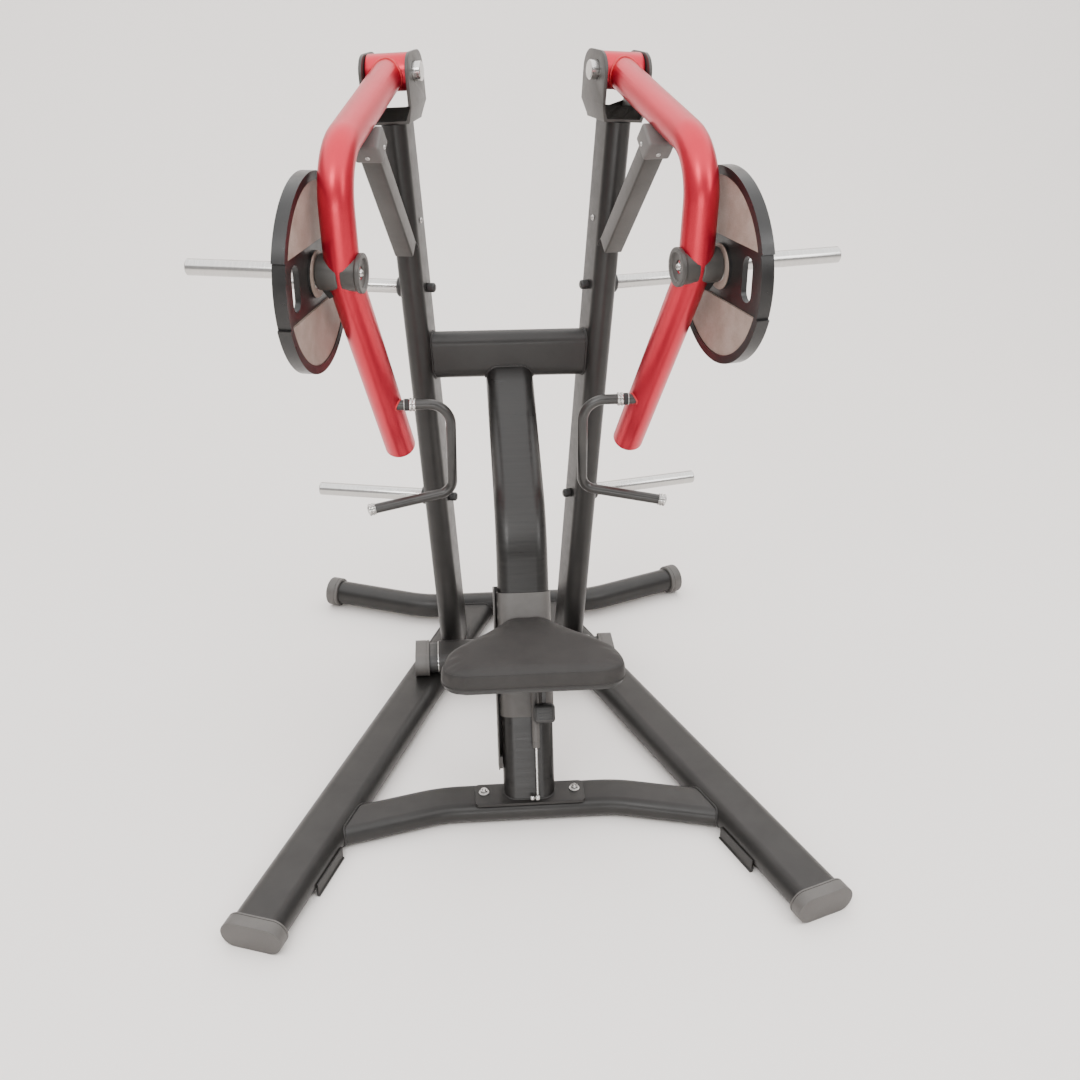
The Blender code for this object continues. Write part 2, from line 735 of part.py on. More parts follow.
def add_tee(side, word, pivot):
    """Bosses welded to both sides of the arm, the outer one carrying the weight horn."""
    frame = toed(side, ARM_TEE) @ Matrix.Rotation(math.radians(90) * side, 4, "Y")
    r, f = TEE_R, TEE_FLANGE_R
    slit = TEE_SLIT
    inner_end = TEE_INNER
    profile = [(0, -slit), (r, -slit), (r, 0.010 - inner_end), (f, 0.007 - inner_end),
               (f, 0.002 - inner_end), (f - 0.002, -inner_end), (0, -inner_end)]
    inner = turned(word + "_tee_inner", profile, frame, 28)
    outer = turned(word + "_tee_outer", [(0, TEE_OUTER), (r - 0.004, TEE_OUTER), (r, TEE_OUTER - 0.004),
                                         (r, slit), (0, slit)], frame, 28)
    for boss, end in ((inner, "inner"), (outer, "outer")):
        cope = bent_round(f"{word}_tee_{end}_cope", arm_path(side), ARM_R + GAP, 0.0, 4, True)
        boolean(boss, cope)
        hang(finish(boss, "frame_paint"), pivot)

    r, h = HORN_R, HORN_END
    start = TEE_OUTER + GAP
    horn = turned(word + "_weight_horn", [(0, h), (r - 0.002, h), (r, h - 0.002), (r, start), (0, start)],
                  frame, 24)
    hang(finish(horn, "chrome"), pivot)


def add_disc(side, word, pivot):
    """Weight plate: waisted rim, raised panels above and below, recessed grip band."""
    bound = DISC_BAND_HALF / DISC_R
    cut = math.asin(bound)
    loop = []
    for start, stop, radius, count in (
            (cut, math.pi - cut, DISC_R, 15), (math.pi - cut, math.pi + cut, DISC_WAIST_R, 6),
            (math.pi + cut, 2 * math.pi - cut, DISC_R, 15), (-cut, cut, DISC_WAIST_R, 6)):
        for i in range(count + 1):
            angle = start + (stop - start) * i / count
            loop.append((radius * math.cos(angle), radius * math.sin(angle)))
    drop = DISC_BORE_R - HORN_R - GAP
    centre = toed(side, ARM_TEE) @ Matrix.Translation(
        (side * (DISC_NEAR + DISC_THICK / 2), 0, -drop))
    frame = centre @ Matrix.Rotation(math.radians(90), 4, "Z") @ Matrix.Rotation(
        math.radians(90), 4, "X")
    disc = outline(word + "_plate", [loop, circle_points(DISC_BORE_R, 24)], DISC_THICK, frame)

    panel = [(DISC_RIM_R * math.cos(a), DISC_RIM_R * math.sin(a))
             for a in [2 * math.pi * i / 40 for i in range(40)]]
    reach = DISC_RIM_R - 0.004
    band_cut = math.asin(DISC_BAND_HALF / reach)
    band = []
    for start in (-band_cut, math.pi - band_cut):
        for i in range(7):
            angle = start + 2 * band_cut * i / 6
            band.append((reach * math.cos(angle), reach * math.sin(angle)))
    for end, sign in (("near", -1), ("far", 1)):
        deep = 0.02
        z_panel = sign * (DISC_PANEL_THICK / 2 + deep / 2)
        recess = outline(f"{word}_plate_{end}_panel", [panel, circle_points(DISC_RING_R, 24)], deep,
                         frame @ Matrix.Translation((0, 0, z_panel)), True)
        boolean(disc, recess)
        z_band = sign * (DISC_BAND_THICK / 2 + deep / 2)
        groove = outline(f"{word}_plate_{end}_band", [band, circle_points(DISC_RING_R + 0.001, 24)],
                         deep, frame @ Matrix.Translation((0, 0, z_band)), True)
        boolean(disc, groove)
    for end, sign in (("front", -1), ("back", 1)):
        slot = oval_points(0.100, 0.046, 5)
        grip = outline(f"{word}_plate_{end}_grip", [slot], 0.1,
                       frame @ Matrix.Translation((sign * 0.128, 0, 0))
                       @ Matrix.Rotation(math.radians(90), 4, "Z"), True)
        boolean(disc, grip)
    hang(finish(disc, "plate_paint"), pivot)


def handle_path(side):
    top = (HANDLE_GRIP_X, HANDLE_Y, HANDLE_TOP_Z)
    root = (HANDLE_ROOT_X, HANDLE_Y, HANDLE_TOP_Z)
    points = [side_point(side, p) for p in (root, top, HANDLE_LOW, HANDLE_TIP)]
    upper = fillet(points[:3], HANDLE_TOP_BEND_R, 5)
    lower = fillet(points[1:], HANDLE_LOW_BEND_R, 5)
    return upper[:-1] + lower[1:]


def add_handle(side, word, pivot):
    """Bent grip bar welded to the lower arm, with two collars and a capped tip."""
    handle = bent_round(word + "_handle", handle_path(side), HANDLE_R, 0.0, 2)
    cope = bent_round(word + "_handle_cope", arm_path(side), ARM_R + GAP, 0.0, 4, True)
    boolean(handle, cope)
    hang(finish(handle, "grip_paint"), pivot)

    frame = along(side_point(side, (HANDLE_RING_X, HANDLE_Y, HANDLE_TOP_Z)), (side, 0, 0), (0, 0, 1))
    r, b, w = HANDLE_RING_R, HANDLE_R + 0.0005, 0.0080
    ring = turned(word + "_handle_collar", [(b, w), (r - 0.001, w), (r, w - 0.001), (r, 0.001 - w),
                                            (r - 0.001, -w), (b, -w)], frame, 16)
    hang(finish(ring, "chrome"), pivot)

    path = handle_path(side)
    out = (path[-1] - path[-2]).normalized()
    r, h = HANDLE_TIP_R, HANDLE_TIP_LENGTH
    tip = turned(word + "_handle_tip", [(0, h), (r - 0.003, h), (r, h - 0.003), (r, 0), (0, 0)],
                 along(path[-1] + out * GAP, out, (0, 0, 1)), 16)
    hang(finish(tip, "chrome"), pivot)


# -------------------------------------------------------------- seat carriage

def column_frame(distance):
    """Frame on the column's axis, X sideways, Y to the rear, Z up along the lean."""
    z0 = column_top() + GAP
    up = Vector((0.0, math.sin(COLUMN_LEAN), math.cos(COLUMN_LEAN)))
    origin = Vector((0.0, COLUMN_FOOT_Y, z0)) + up * distance
    return along(origin, up, (1, 0, 0))


def add_sleeve(pivot):
    inner_w = TUBE_W + 2 * SLEEVE_CLEARANCE
    inner_h = TUBE_H + 2 * SLEEVE_CLEARANCE
    loops = [oval_points(inner_w + 2 * SLEEVE_WALL, inner_h + 2 * SLEEVE_WALL, 10),
             oval_points(inner_w, inner_h, 10)]
    middle = column_frame(SLEEVE_START + SLEEVE_LENGTH / 2)
    sleeve = outline("seat_sleeve", loops, SLEEVE_LENGTH, middle)
    hang(finish(sleeve, "grey_plastic"), pivot)


def sleeve_cope(name):
    """Cutter a little larger than the outside of the sleeve."""
    grow = 2 * (SLEEVE_CLEARANCE + SLEEVE_WALL + GAP)
    return outline(name, [oval_points(TUBE_W + grow, TUBE_H + grow, 10)], 0.8,
                   column_frame(0.3), True)


def add_seat_bracket(pivot):
    """Plate under the pad with a web that runs back down to the sleeve."""
    top_z = SEAT_TOP_Z - SEAT_THICK - GAP
    thick = 0.008
    pan = [(-0.030, -0.236), (0.030, -0.236), (0.105, -0.335), (0.120, -0.420), (-0.120, -0.420),
           (-0.105, -0.335)]
    plate = outline("seat_bracket", [pan], thick, Matrix.Translation((0, 0, top_z - thick / 2)))
    web = [(-0.210, top_z - 0.004), (-0.400, top_z - 0.004), (-0.385, top_z - 0.028),
           (-0.285, top_z - 0.095), (-0.220, top_z - 0.110)]
    sideways = Matrix.Rotation(math.radians(90), 4, "Z") @ Matrix.Rotation(math.radians(90), 4, "X")
    rib = outline("seat_bracket_rib", [web], 0.064, sideways, True)
    boolean(plate, rib, "UNION")
    boolean(plate, sleeve_cope("seat_bracket_cope"))
    bore = rod("seat_bracket_bore", SPRING_R + 0.0012, 0.6,
               column_frame(0.2) @ Matrix.Translation((SPRING_X, -SPRING_OFFSET, 0)), 16, True)
    boolean(plate, bore)
    hang(finish(plate, "frame_paint"), pivot)


def add_seat_pad(pivot):
    """Saddle-shaped pad: wide rounded front, waist, narrow rear end at the sleeve."""
    rows = SEAT_ROWS
    top, bottom = SEAT_TOP_Z, SEAT_TOP_Z - SEAT_THICK
    mesh = bpy.data.meshes.new("seat_pad")
    shape = bmesh.new()
    layers = [(bottom, 0.93), (bottom + 0.012, 1.0), (top - 0.016, 1.0), (top, 0.90)]
    columns = (-1.0, -0.62, 0.0, 0.62, 1.0)
    middle_y = (rows[0][0] + rows[-1][0]) / 2
    grid = []
    for z, scale in layers:
        grid.append([[shape.verts.new((SEAT_X + half * c * scale, middle_y + (y - middle_y) * scale, z))
                      for c in columns] for y, half in rows])
    last = len(rows) - 1
    side = len(columns) - 1
    for i in range(last):
        for j in range(side):
            low, high = grid[0], grid[-1]
            shape.faces.new((low[i][j], low[i + 1][j], low[i + 1][j + 1], low[i][j + 1]))
            shape.faces.new((high[i][j], high[i][j + 1], high[i + 1][j + 1], high[i + 1][j]))
    for a, b in zip(grid, grid[1:]):
        for i in range(last):
            shape.faces.new((a[i][0], b[i][0], b[i + 1][0], a[i + 1][0]))
            shape.faces.new((a[i][side], a[i + 1][side], b[i + 1][side], b[i][side]))
        for j in range(side):
            shape.faces.new((a[0][j], a[0][j + 1], b[0][j + 1], b[0][j]))
            shape.faces.new((a[last][j], b[last][j], b[last][j + 1], a[last][j + 1]))
    bmesh.ops.recalc_face_normals(shape, faces=shape.faces)
    shape.to_mesh(mesh)
    shape.free()
    pad = link("seat_pad", mesh, Matrix.Identity(4))
    smooth = pad.modifiers.new("soft", "SUBSURF")
    smooth.levels = 1
    smooth.render_levels = 1
    boolean(pad, sleeve_cope("seat_pad_cope"))
    hang(finish(pad, "seat_leather", 80.0), pivot)


def add_gas_spring(pivot):
    """Cylinder carried by the seat, on a rod that stands on the base plate."""
    foot = column_frame(0.0) @ Matrix.Translation((SPRING_X, -SPRING_OFFSET, 0))
    base_z = column_top() + GAP
    drop = foot.translation.z - base_z
    start = 0.006 - drop / math.cos(COLUMN_LEAN)
    low, high = 0.120, 0.290
    r, b = SPRING_R, SPRING_ROD_R + 0.0005
    profile = [(0, high), (r, high), (r, low), (b, low), (b, high - 0.010), (0, high - 0.010)]
    cylinder = turned("gas_spring_cylinder", profile, foot, 16)
    hang(finish(cylinder, "grey_plastic"), pivot)
    s = SPRING_ROD_R
    knob = 0.007
    bar = turned("gas_spring_rod", [(0, 0.185), (s, 0.185), (s, start + 2 * knob), (knob, start + 1.6 * knob),
                                    (knob, start + 0.4 * knob), (0.004, start), (0, start)], foot, 12)
    finish(bar, "chrome")


def add_height_rail():
    """Strip beside the column, fixed at its foot, that the seat lock engages."""
    frame = column_frame(0.0)
    long = 0.455
    rail = block("height_rail", (0.005, 0.026, long),
                 frame @ Matrix.Translation((RAIL_X - 0.0025, -0.006, 0.060 + long / 2)))
    spacer = block("height_rail_spacer", (0.008, 0.022, 0.030),
                   frame @ Matrix.Translation((RAIL_X + 0.0018, -0.006, 0.078)), True)
    boolean(rail, spacer, "UNION")
    tube = outline("height_rail_cope", [oval_points(TUBE_W + 2 * GAP, TUBE_H + 2 * GAP)], 0.6,
                   frame @ Matrix.Translation((0, 0, 0.3)), True)
    boolean(rail, tube)
    finish(rail, "frame_paint")


def lever_frame():
    return column_frame(LEVER_HEIGHT) @ Matrix.Translation((LEVER_X, -LEVER_OFFSET, 0.0))


def add_lever(pivot):
    """Release lever with a rounded grip, hinged across the front of the sleeve."""
    frame = lever_frame()
    low = -LEVER_LENGTH
    bar = [(-0.008, 0.006), (-0.006, low), (0.004, low), (0.008, 0.006), (0.004, 0.010),
           (-0.004, 0.010)]
    sideways = frame @ Matrix.Rotation(math.radians(90), 4, "Z") @ Matrix.Rotation(
        math.radians(90), 4, "X")
    lever = outline("release_lever", [bar], 0.010, sideways)
    hang(finish(lever, "grey_plastic"), pivot)
    grip = block("release_knob", (0.053, 0.030, 0.048),
                 frame @ Matrix.Translation((0.0, -0.002, low - GAP - 0.024)))
    round_edges(grip, 0.008, 3)
    hang(finish(grip, "black_plastic"), pivot)


# ----------------------------------------------------------------------- main

def centre_footprint():
    for obj in bpy.data.objects:
        if obj.parent is None:
            obj.location.y += TO_CENTRE_Y


def build():
    global PARTS, CUTTERS
    clear_scene()
    PARTS = new_collection("chest_press_machine")
    CUTTERS = new_collection("cutters")
    CUTTERS.hide_render = True
    add_material("frame_paint", (0.050, 0.047, 0.045), 0.55, 0.42)
    add_material("red_paint", (0.560, 0.030, 0.040), 0.35, 0.32)
    add_material("grey_plastic", (0.165, 0.158, 0.150), 0.0, 0.50)
    add_material("grey_rubber", (0.130, 0.125, 0.118), 0.0, 0.60)
    add_material("black_plastic", (0.020, 0.020, 0.020), 0.0, 0.45)
    add_material("grip_paint", (0.030, 0.028, 0.027), 0.30, 0.38)
    add_material("chrome", (0.750, 0.740, 0.720), 1.0, 0.18)
    add_material("plate_paint", (0.380, 0.300, 0.260), 0.10, 0.55)
    add_material("seat_leather", (0.120, 0.110, 0.104), 0.0, 0.55)

    add_front_cross_tube()
    add_rear_cross_tube()
    add_foot_cross_tube()
    add_base_plate()
    add_column()
    add_cross_beam()
    for side, word in ((-1, "left"), (1, "right")):
        add_leg(side, word)
        add_floor_bracket(side, word)
        add_upright(side, word)
        add_clevis(side, word)
        add_pin(side, word)
        add_stop(side, word)
        add_bumper(side, word)
        add_storage_horn(side, word, 0)
        add_storage_horn(side, word, 1)
        pivot = add_pivot(word + "_arm_pivot", pivot_frame(side))
        add_arm(side, word, pivot)
        add_tee(side, word, pivot)
        add_handle(side, word, pivot)
        slide = add_pivot(word + "_plate_slide", toed(side, ARM_TEE))
        add_disc(side, word, slide)

    carriage = add_pivot("seat_slide", column_frame(SLEEVE_START))
    add_sleeve(carriage)
    add_seat_bracket(carriage)
    add_seat_pad(carriage)
    add_gas_spring(carriage)
    add_height_rail()
    add_lever(add_pivot("lever_pivot", lever_frame()))
    centre_footprint()


build()
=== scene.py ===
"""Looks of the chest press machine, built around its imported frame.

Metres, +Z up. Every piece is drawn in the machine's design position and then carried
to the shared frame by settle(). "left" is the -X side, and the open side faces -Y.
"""

import json
import math

import bmesh
import bpy
from mathutils import Matrix, Vector
from mathutils.bvhtree import BVHTree

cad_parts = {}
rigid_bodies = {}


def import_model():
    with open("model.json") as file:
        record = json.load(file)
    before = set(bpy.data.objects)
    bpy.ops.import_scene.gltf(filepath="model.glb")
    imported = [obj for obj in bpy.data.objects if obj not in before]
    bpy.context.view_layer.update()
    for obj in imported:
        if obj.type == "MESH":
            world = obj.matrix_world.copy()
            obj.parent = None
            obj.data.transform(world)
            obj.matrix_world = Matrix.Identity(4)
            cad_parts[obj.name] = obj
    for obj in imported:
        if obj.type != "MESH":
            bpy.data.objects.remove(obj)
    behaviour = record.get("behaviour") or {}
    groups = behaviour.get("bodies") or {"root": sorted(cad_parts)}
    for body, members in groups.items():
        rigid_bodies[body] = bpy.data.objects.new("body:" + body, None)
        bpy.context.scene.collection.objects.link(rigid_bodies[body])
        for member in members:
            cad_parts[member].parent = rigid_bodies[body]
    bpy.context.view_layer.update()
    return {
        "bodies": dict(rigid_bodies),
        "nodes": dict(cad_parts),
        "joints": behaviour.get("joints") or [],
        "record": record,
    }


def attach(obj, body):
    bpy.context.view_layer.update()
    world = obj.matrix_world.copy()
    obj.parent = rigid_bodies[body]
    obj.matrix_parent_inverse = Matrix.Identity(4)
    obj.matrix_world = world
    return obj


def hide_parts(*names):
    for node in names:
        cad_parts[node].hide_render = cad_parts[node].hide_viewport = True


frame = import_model()

# Clearances and resolution
GAP = 0.0003
OVAL_STEPS = 24
ROUND_STEPS = 64
BEND_STEPS = 14
MERGE = 0.00001

# Weld beads
WELD_R = 0.0032
WIDE_WELD_R = 0.0036
FOOT_WELD_R = 0.0024
HANDLE_WELD_R = 0.0022
WELD_PITCH = 0.0035

# Flat-oval frame tube
TUBE_W = 0.128
TUBE_H = 0.065
TUBE_WALL = 0.003

# Splayed legs
LEG_FRONT = (0.6285, -0.7371)
LEG_HEADING = math.radians(20.7)
LEG_LENGTH = 1.465
FOOT_CAP_W = 0.147
FOOT_CAP_H = 0.0670
FOOT_CAP_LENGTH = 0.036

# Cross tubes of the base
FRONT_TUBE_W = 0.110
FRONT_TUBE_H = 0.052
FRONT_TUBE_Z = 0.0290
FRONT_TUBE_Y = -0.341
FRONT_TUBE_BEND_X = 0.22
FRONT_TUBE_END = (0.50, -0.417)
FRONT_TUBE_BEND_R = 0.35
REAR_TUBE_R = 0.0375
REAR_TUBE_Z = 0.046
REAR_TUBE_Y = 0.652
REAR_TUBE_BEND_X = 0.265
REAR_TUBE_END = (0.540, 0.768)
REAR_TUBE_BEND_R = 0.30
REAR_CAP_R = 0.0455
REAR_CAP_LENGTH = 0.040
FOOT_TUBE_Y = 0.252
FOOT_TUBE_HALF = 0.250
FOOT_TUBE_CAP_LENGTH = 0.040
FOOT_TUBE_NECK_X = 0.222

# Floor brackets inside the legs
BRACKET_LENGTH = 0.136
BRACKET_FLANGE = 0.008
BRACKET_THICK = 0.005
BRACKET_HIGH = 0.034
BRACKET_DISTANCE = 0.225

# Column and its base plate
PLATE_SIZE = (0.274, 0.082, 0.007)
PLATE_Y = -0.351
PLATE_CORNER_R = 0.012
BOLT_X = 0.114
COLUMN_LEAN = math.radians(22.3)
COLUMN_FOOT_Y = -0.342
COLUMN_CORNER_Z = 0.69
COLUMN_TOP = (0.385, 0.925)
COLUMN_BEND_R = 0.25

# Uprights and the upper cross beam
TOE = math.radians(13.0)
UPRIGHT_FOOT = (0.175, 0.4165, 0.0655)
UPRIGHT_TOP = (0.2705, 0.3860, 1.5740)
BEAM_Y = 0.390
BEAM_Z = 0.975
BEAM_HALF = 0.233
UPRIGHT_SCREW_Z = 1.337

# Arm pivots
PIVOT = (0.283, 0.385, 1.695)
PIVOT_TILT = math.radians(3.6)
PIN_R = 0.0235
PIN_INNER = 0.081
PIN_OUTER = 0.074
HUB_R = 0.0445
HUB_HALF = 0.0515
HUB_BORE_R = 0.0245
CLEVIS_PLATE = 0.008
CLEVIS_INSIDE = 0.0535
CLEVIS_BASE_HALF = 0.046
CLEVIS_FRONT = 0.064
CLEVIS_BACK = 0.096
CLEVIS_TOP = 0.0460
CLEVIS_CORNER_R = 0.048
CLEVIS_BASE_DROP = 0.112
CLEVIS_BEND_DROP = 0.074

# Arms
ARM_R = 0.039
ARM_WALL = 0.0035
ARM_KNEE = (0.393, -0.166, 1.583)
ARM_TEE = (0.387, -0.160, 1.340)
ARM_END = (0.2972, 0.1367, 0.8189)
ARM_KNEE_R = 0.13
ARM_TEE_BEND_R = 0.09
TEE_R = 0.0395
TEE_SLIT = 0.004
TEE_INNER = 0.047
TEE_OUTER = 0.0525
TEE_FLANGE_R = 0.0435
HORN_R = 0.0185
HORN_END = 0.355

# Weight plates
DISC_R = 0.2165
DISC_WAIST_R = 0.2105
DISC_RIM_R = 0.1975
DISC_THICK = 0.029
DISC_PANEL_THICK = 0.024
DISC_BAND_THICK = 0.013
DISC_BAND_HALF = 0.070
DISC_RING_R = 0.050
DISC_BORE_R = 0.0240
DISC_NEAR = 0.0545
DISC_GRIP_SIZE = (0.100, 0.046)
DISC_GRIP_X = 0.128

# Handles
HANDLE_R = 0.0127
HANDLE_TOP_Z = 0.962
HANDLE_Y = 0.036
HANDLE_ROOT_X = 0.310
HANDLE_RING_X = 0.2575
HANDLE_GRIP_X = 0.164
HANDLE_LOW = (0.166, 0.042, 0.724)
HANDLE_TIP = (0.362, 0.017, 0.6930)
HANDLE_TIP_R = 0.0160
HANDLE_TIP_LENGTH = 0.020
HANDLE_TOP_BEND_R = 0.055
HANDLE_LOW_BEND_R = 0.036
HANDLE_RING_R = 0.0165

# Stop arms and rubber bumpers
STOP_SIZE = 0.048
STOP_WALL = 0.003
STOP_CORNER_R = 0.0045
STOP_FOOT = (0.2640, 0.318, 1.280)
STOP_TOP = (0.3256, 0.0745, 1.5680)
BUMPER_SIZE = (0.066, 0.066, 0.054)
BUMPER_COVERS = 0.022

# Storage horns
STORE_Z = (1.161, 0.548)
STORE_REACH = 0.353
STORE_COLLAR_R = 0.027

# Seat carriage
SLEEVE_CLEARANCE = 0.0006
SLEEVE_WALL = 0.0030
SLEEVE_START = 0.195
SLEEVE_LENGTH = 0.310
SEAT_TOP_Z = 0.495
SEAT_THICK = 0.060
SEAT_X = 0.0065
SEAT_FRONT_CORNER = 0.052
SEAT_FRONT_SHARE = 0.9
SEAT_REAR_CORNER = 0.012
SEAT_ROWS = ((-0.190, 0.042), (-0.224, 0.068), (-0.266, 0.108), (-0.305, 0.155), (-0.345, 0.194),
             (-0.390, 0.213), (-0.436, 0.217), (-0.470, 0.210))
SPRING_X = 0.018
SPRING_OFFSET = 0.0480
SPRING_R = 0.0095
SPRING_ROD_R = 0.0035
SPRING_SPAN = (0.120, 0.290)
SPRING_ROD_TOP = 0.185
RAIL_X = -0.0705
RAIL_START = 0.060
RAIL_LENGTH = 0.455
RAIL_HOLES = 13
RAIL_HOLE_PITCH = 0.030
LEVER_HEIGHT = 0.292
LEVER_X = 0.038
LEVER_OFFSET = 0.078
LEVER_LENGTH = 0.055

# Distance that brings the middle of the footprint onto the origin
TO_CENTRE_Y = -0.0135034

# Seat cushion
SEAT_BOARD_THICK = 0.009
CLOTH_VOXEL = 0.005
CLOTH_PRESSURE = 4.0
CLOTH_FRAMES = 20
CLOTH_CAP = 0.004
COVER_SMOOTHING = 6

# Camera, at the photograph's viewing angle
CAMERA_LENS = 40.471
CAMERA_PLACE = (-0.16932, -2.8135034, 1.99273)
CAMERA_TURN = (math.radians(63.5602), 0.0, math.radians(-4.57127))

SIDES = ((-1, "left"), (1, "right"))
QUARTER = math.radians(90)
MATERIALS = {}
PIECES = []


# ------------------------------------------------------------------ materials

class Look:
    """A node material being put together around its Principled shader."""

    def __init__(self, name, metallic=0.0, coat=0.0, coat_roughness=0.1):
        self.material = bpy.data.materials.new(name)
        self.material.use_nodes = True
        self.tree = self.material.node_tree
        self.shader = self.tree.nodes["Principled BSDF"]
        self.shader.inputs["Metallic"].default_value = metallic
        self.shader.inputs["Coat Weight"].default_value = coat
        self.shader.inputs["Coat Roughness"].default_value = coat_roughness
        self.coords = self.tree.nodes.new("ShaderNodeTexCoord").outputs["Object"]
        MATERIALS[name] = self.material

    def stretched(self, scale):
        """Object coordinates with each axis scaled, so that a pattern runs along the piece."""
        mapping = self.tree.nodes.new("ShaderNodeMapping")
        mapping.inputs["Scale"].default_value = scale
        self.tree.links.new(self.coords, mapping.inputs["Vector"])
        return mapping.outputs["Vector"]

    def noise(self, scale, detail=3.0, roughness=0.5, coords=None):
        node = self.tree.nodes.new("ShaderNodeTexNoise")
        node.inputs["Scale"].default_value = scale
        node.inputs["Detail"].default_value = detail
        node.inputs["Roughness"].default_value = roughness
        self.tree.links.new(coords or self.coords, node.inputs["Vector"])
        return node.outputs["Fac"]

    def cells(self, scale, feature="F1", coords=None):
        node = self.tree.nodes.new("ShaderNodeTexVoronoi")
        node.feature = feature
        node.inputs["Scale"].default_value = scale
        self.tree.links.new(coords or self.coords, node.inputs["Vector"])
        return node.outputs["Distance"]

    def ramp(self, factor, *stops):
        """Colour ramp from (place, value) stops, a value being a grey level or a colour."""
        node = self.tree.nodes.new("ShaderNodeValToRGB")
        elements = node.color_ramp.elements
        while len(elements) < len(stops):
            elements.new(0.5)
        for element, (place, value) in zip(elements, stops):
            element.position = place
            color = value if isinstance(value, tuple) else (value, value, value)
            element.color = (*color, 1.0)
        self.tree.links.new(factor, node.inputs["Fac"])
        return node.outputs["Color"]

    def sum(self, a, b, share):
        """a plus a share of b, for stacking height patterns."""
        node = self.tree.nodes.new("ShaderNodeMath")
        node.operation = "MULTIPLY_ADD"
        node.inputs[1].default_value = share
        self.tree.links.new(b, node.inputs[0])
        self.tree.links.new(a, node.inputs[2])
        return node.outputs["Value"]

    def color(self, output):
        self.tree.links.new(output, self.shader.inputs["Base Color"])

    def roughness(self, output):
        self.tree.links.new(output, self.shader.inputs["Roughness"])

    def bump(self, height, strength, distance):
        node = self.tree.nodes.new("ShaderNodeBump")
        node.inputs["Strength"].default_value = strength
        node.inputs["Distance"].default_value = distance
        self.tree.links.new(height, node.inputs["Height"])
        self.tree.links.new(node.outputs["Normal"], self.shader.inputs["Normal"])


def powder_coat(name, dark, light, metallic, rough, grain=900.0, coat=0.0):
    """Baked powder coat: fine orange peel, faint cloudiness and satin scuffs."""
    look = Look(name, metallic, coat, 0.18)
    cloud = look.noise(9.0, 4.0, 0.6)
    look.color(look.ramp(cloud, (0.30, dark), (0.72, light)))
    scuff = look.noise(38.0, 6.0, 0.65)
    look.roughness(look.ramp(scuff, (0.30, rough - 0.05), (0.75, rough + 0.07)))
    peel = look.noise(grain, 2.0, 0.5)
    look.bump(look.sum(peel, look.noise(60.0, 2.0, 0.5), 0.6), 0.16, 0.0004)


def brushed_coat(name, dark, light, metallic, rough):
    """The column's paint, rubbed by the sliding seat into faint level streaks."""
    look = Look(name, metallic, 0.0, 0.2)
    streak = look.noise(1.0, 5.0, 0.7, look.stretched((6.0, 18.0, 150.0)))
    look.color(look.ramp(streak, (0.30, dark), (0.75, light)))
    look.roughness(look.ramp(streak, (0.30, rough - 0.06), (0.72, rough + 0.10)))
    wave = look.noise(1.0, 3.0, 0.6, look.stretched((3.0, 9.0, 70.0)))
    look.bump(look.sum(wave, look.noise(900.0, 2.0), 0.12), 0.22, 0.0012)


def red_coat():
    """Red metallic powder coat: flakes under a clear satin film."""
    look = Look("red_paint", 0.72, 0.10, 0.25)
    flake = look.cells(1400.0)
    cloud = look.noise(7.0, 3.0, 0.5)
    mixed = look.sum(flake, cloud, 0.55)
    look.color(look.ramp(mixed, (0.30, (0.38, 0.0075, 0.0200)), (0.95, (0.55, 0.0180, 0.0420))))
    look.roughness(look.ramp(look.noise(45.0, 5.0, 0.6), (0.30, 0.31), (0.75, 0.36)))
    look.bump(look.noise(700.0, 2.0), 0.08, 0.0002)


def moulded_plastic(name, dark, light, rough, grain=1500.0):
    look = Look(name)
    cloud = look.noise(14.0, 4.0, 0.6)
    look.color(look.ramp(cloud, (0.30, dark), (0.72, light)))
    look.roughness(look.ramp(look.noise(60.0, 4.0, 0.6), (0.30, rough - 0.06), (0.72, rough + 0.08)))
    look.bump(look.sum(look.cells(grain), look.noise(grain * 0.4, 2.0), 0.7), 0.22, 0.00035)


def chrome_plate(name, rough, streaks):
    look = Look(name, 1.0)
    turned_lines = look.noise(1.0, 4.0, 0.6, look.stretched(streaks))
    look.color(look.ramp(turned_lines, (0.25, (0.44, 0.43, 0.42)), (0.75, (0.60, 0.59, 0.57))))
    look.roughness(look.ramp(turned_lines, (0.30, rough), (0.78, rough + 0.09)))
    look.bump(look.noise(500.0, 2.0), 0.05, 0.0002)


def plate_face():
    """Taupe paint on a cast plate: sandy speckle over a lightly pitted casting."""
    look = Look("plate_face", 0.15)
    speck = look.noise(950.0, 3.0, 0.7)
    cloud = look.noise(16.0, 4.0, 0.6)
    mixed = look.sum(speck, cloud, 0.5)
    look.color(look.ramp(mixed, (0.48, (0.165, 0.118, 0.095)), (0.75, (0.290, 0.222, 0.188)),
                         (0.95, (0.400, 0.325, 0.282))))
    look.roughness(look.ramp(speck, (0.35, 0.46), (0.70, 0.62)))
    look.bump(mixed, 0.30, 0.0006)


def leather():
    """Grained upholstery: pebbles a millimetre or so across, with shine in the hollows."""
    look = Look("seat_leather", 0.0)
    pebble = look.cells(620.0, "SMOOTH_F1")
    fine = look.noise(1500.0, 3.0, 0.6)
    cloud = look.noise(11.0, 4.0, 0.6)
    grain = look.sum(pebble, fine, 0.35)
    look.color(look.ramp(look.sum(cloud, grain, 0.30), (0.36, (0.0120, 0.0106, 0.0098)),
                         (0.86, (0.0250, 0.0225, 0.0210))))
    look.roughness(look.ramp(look.sum(grain, cloud, 0.5), (0.30, 0.46), (0.90, 0.60)))
    look.bump(look.sum(grain, look.noise(70.0, 3.0), 0.9), 0.38, 0.0007)
    look.shader.inputs["Specular IOR Level"].default_value = 0.36


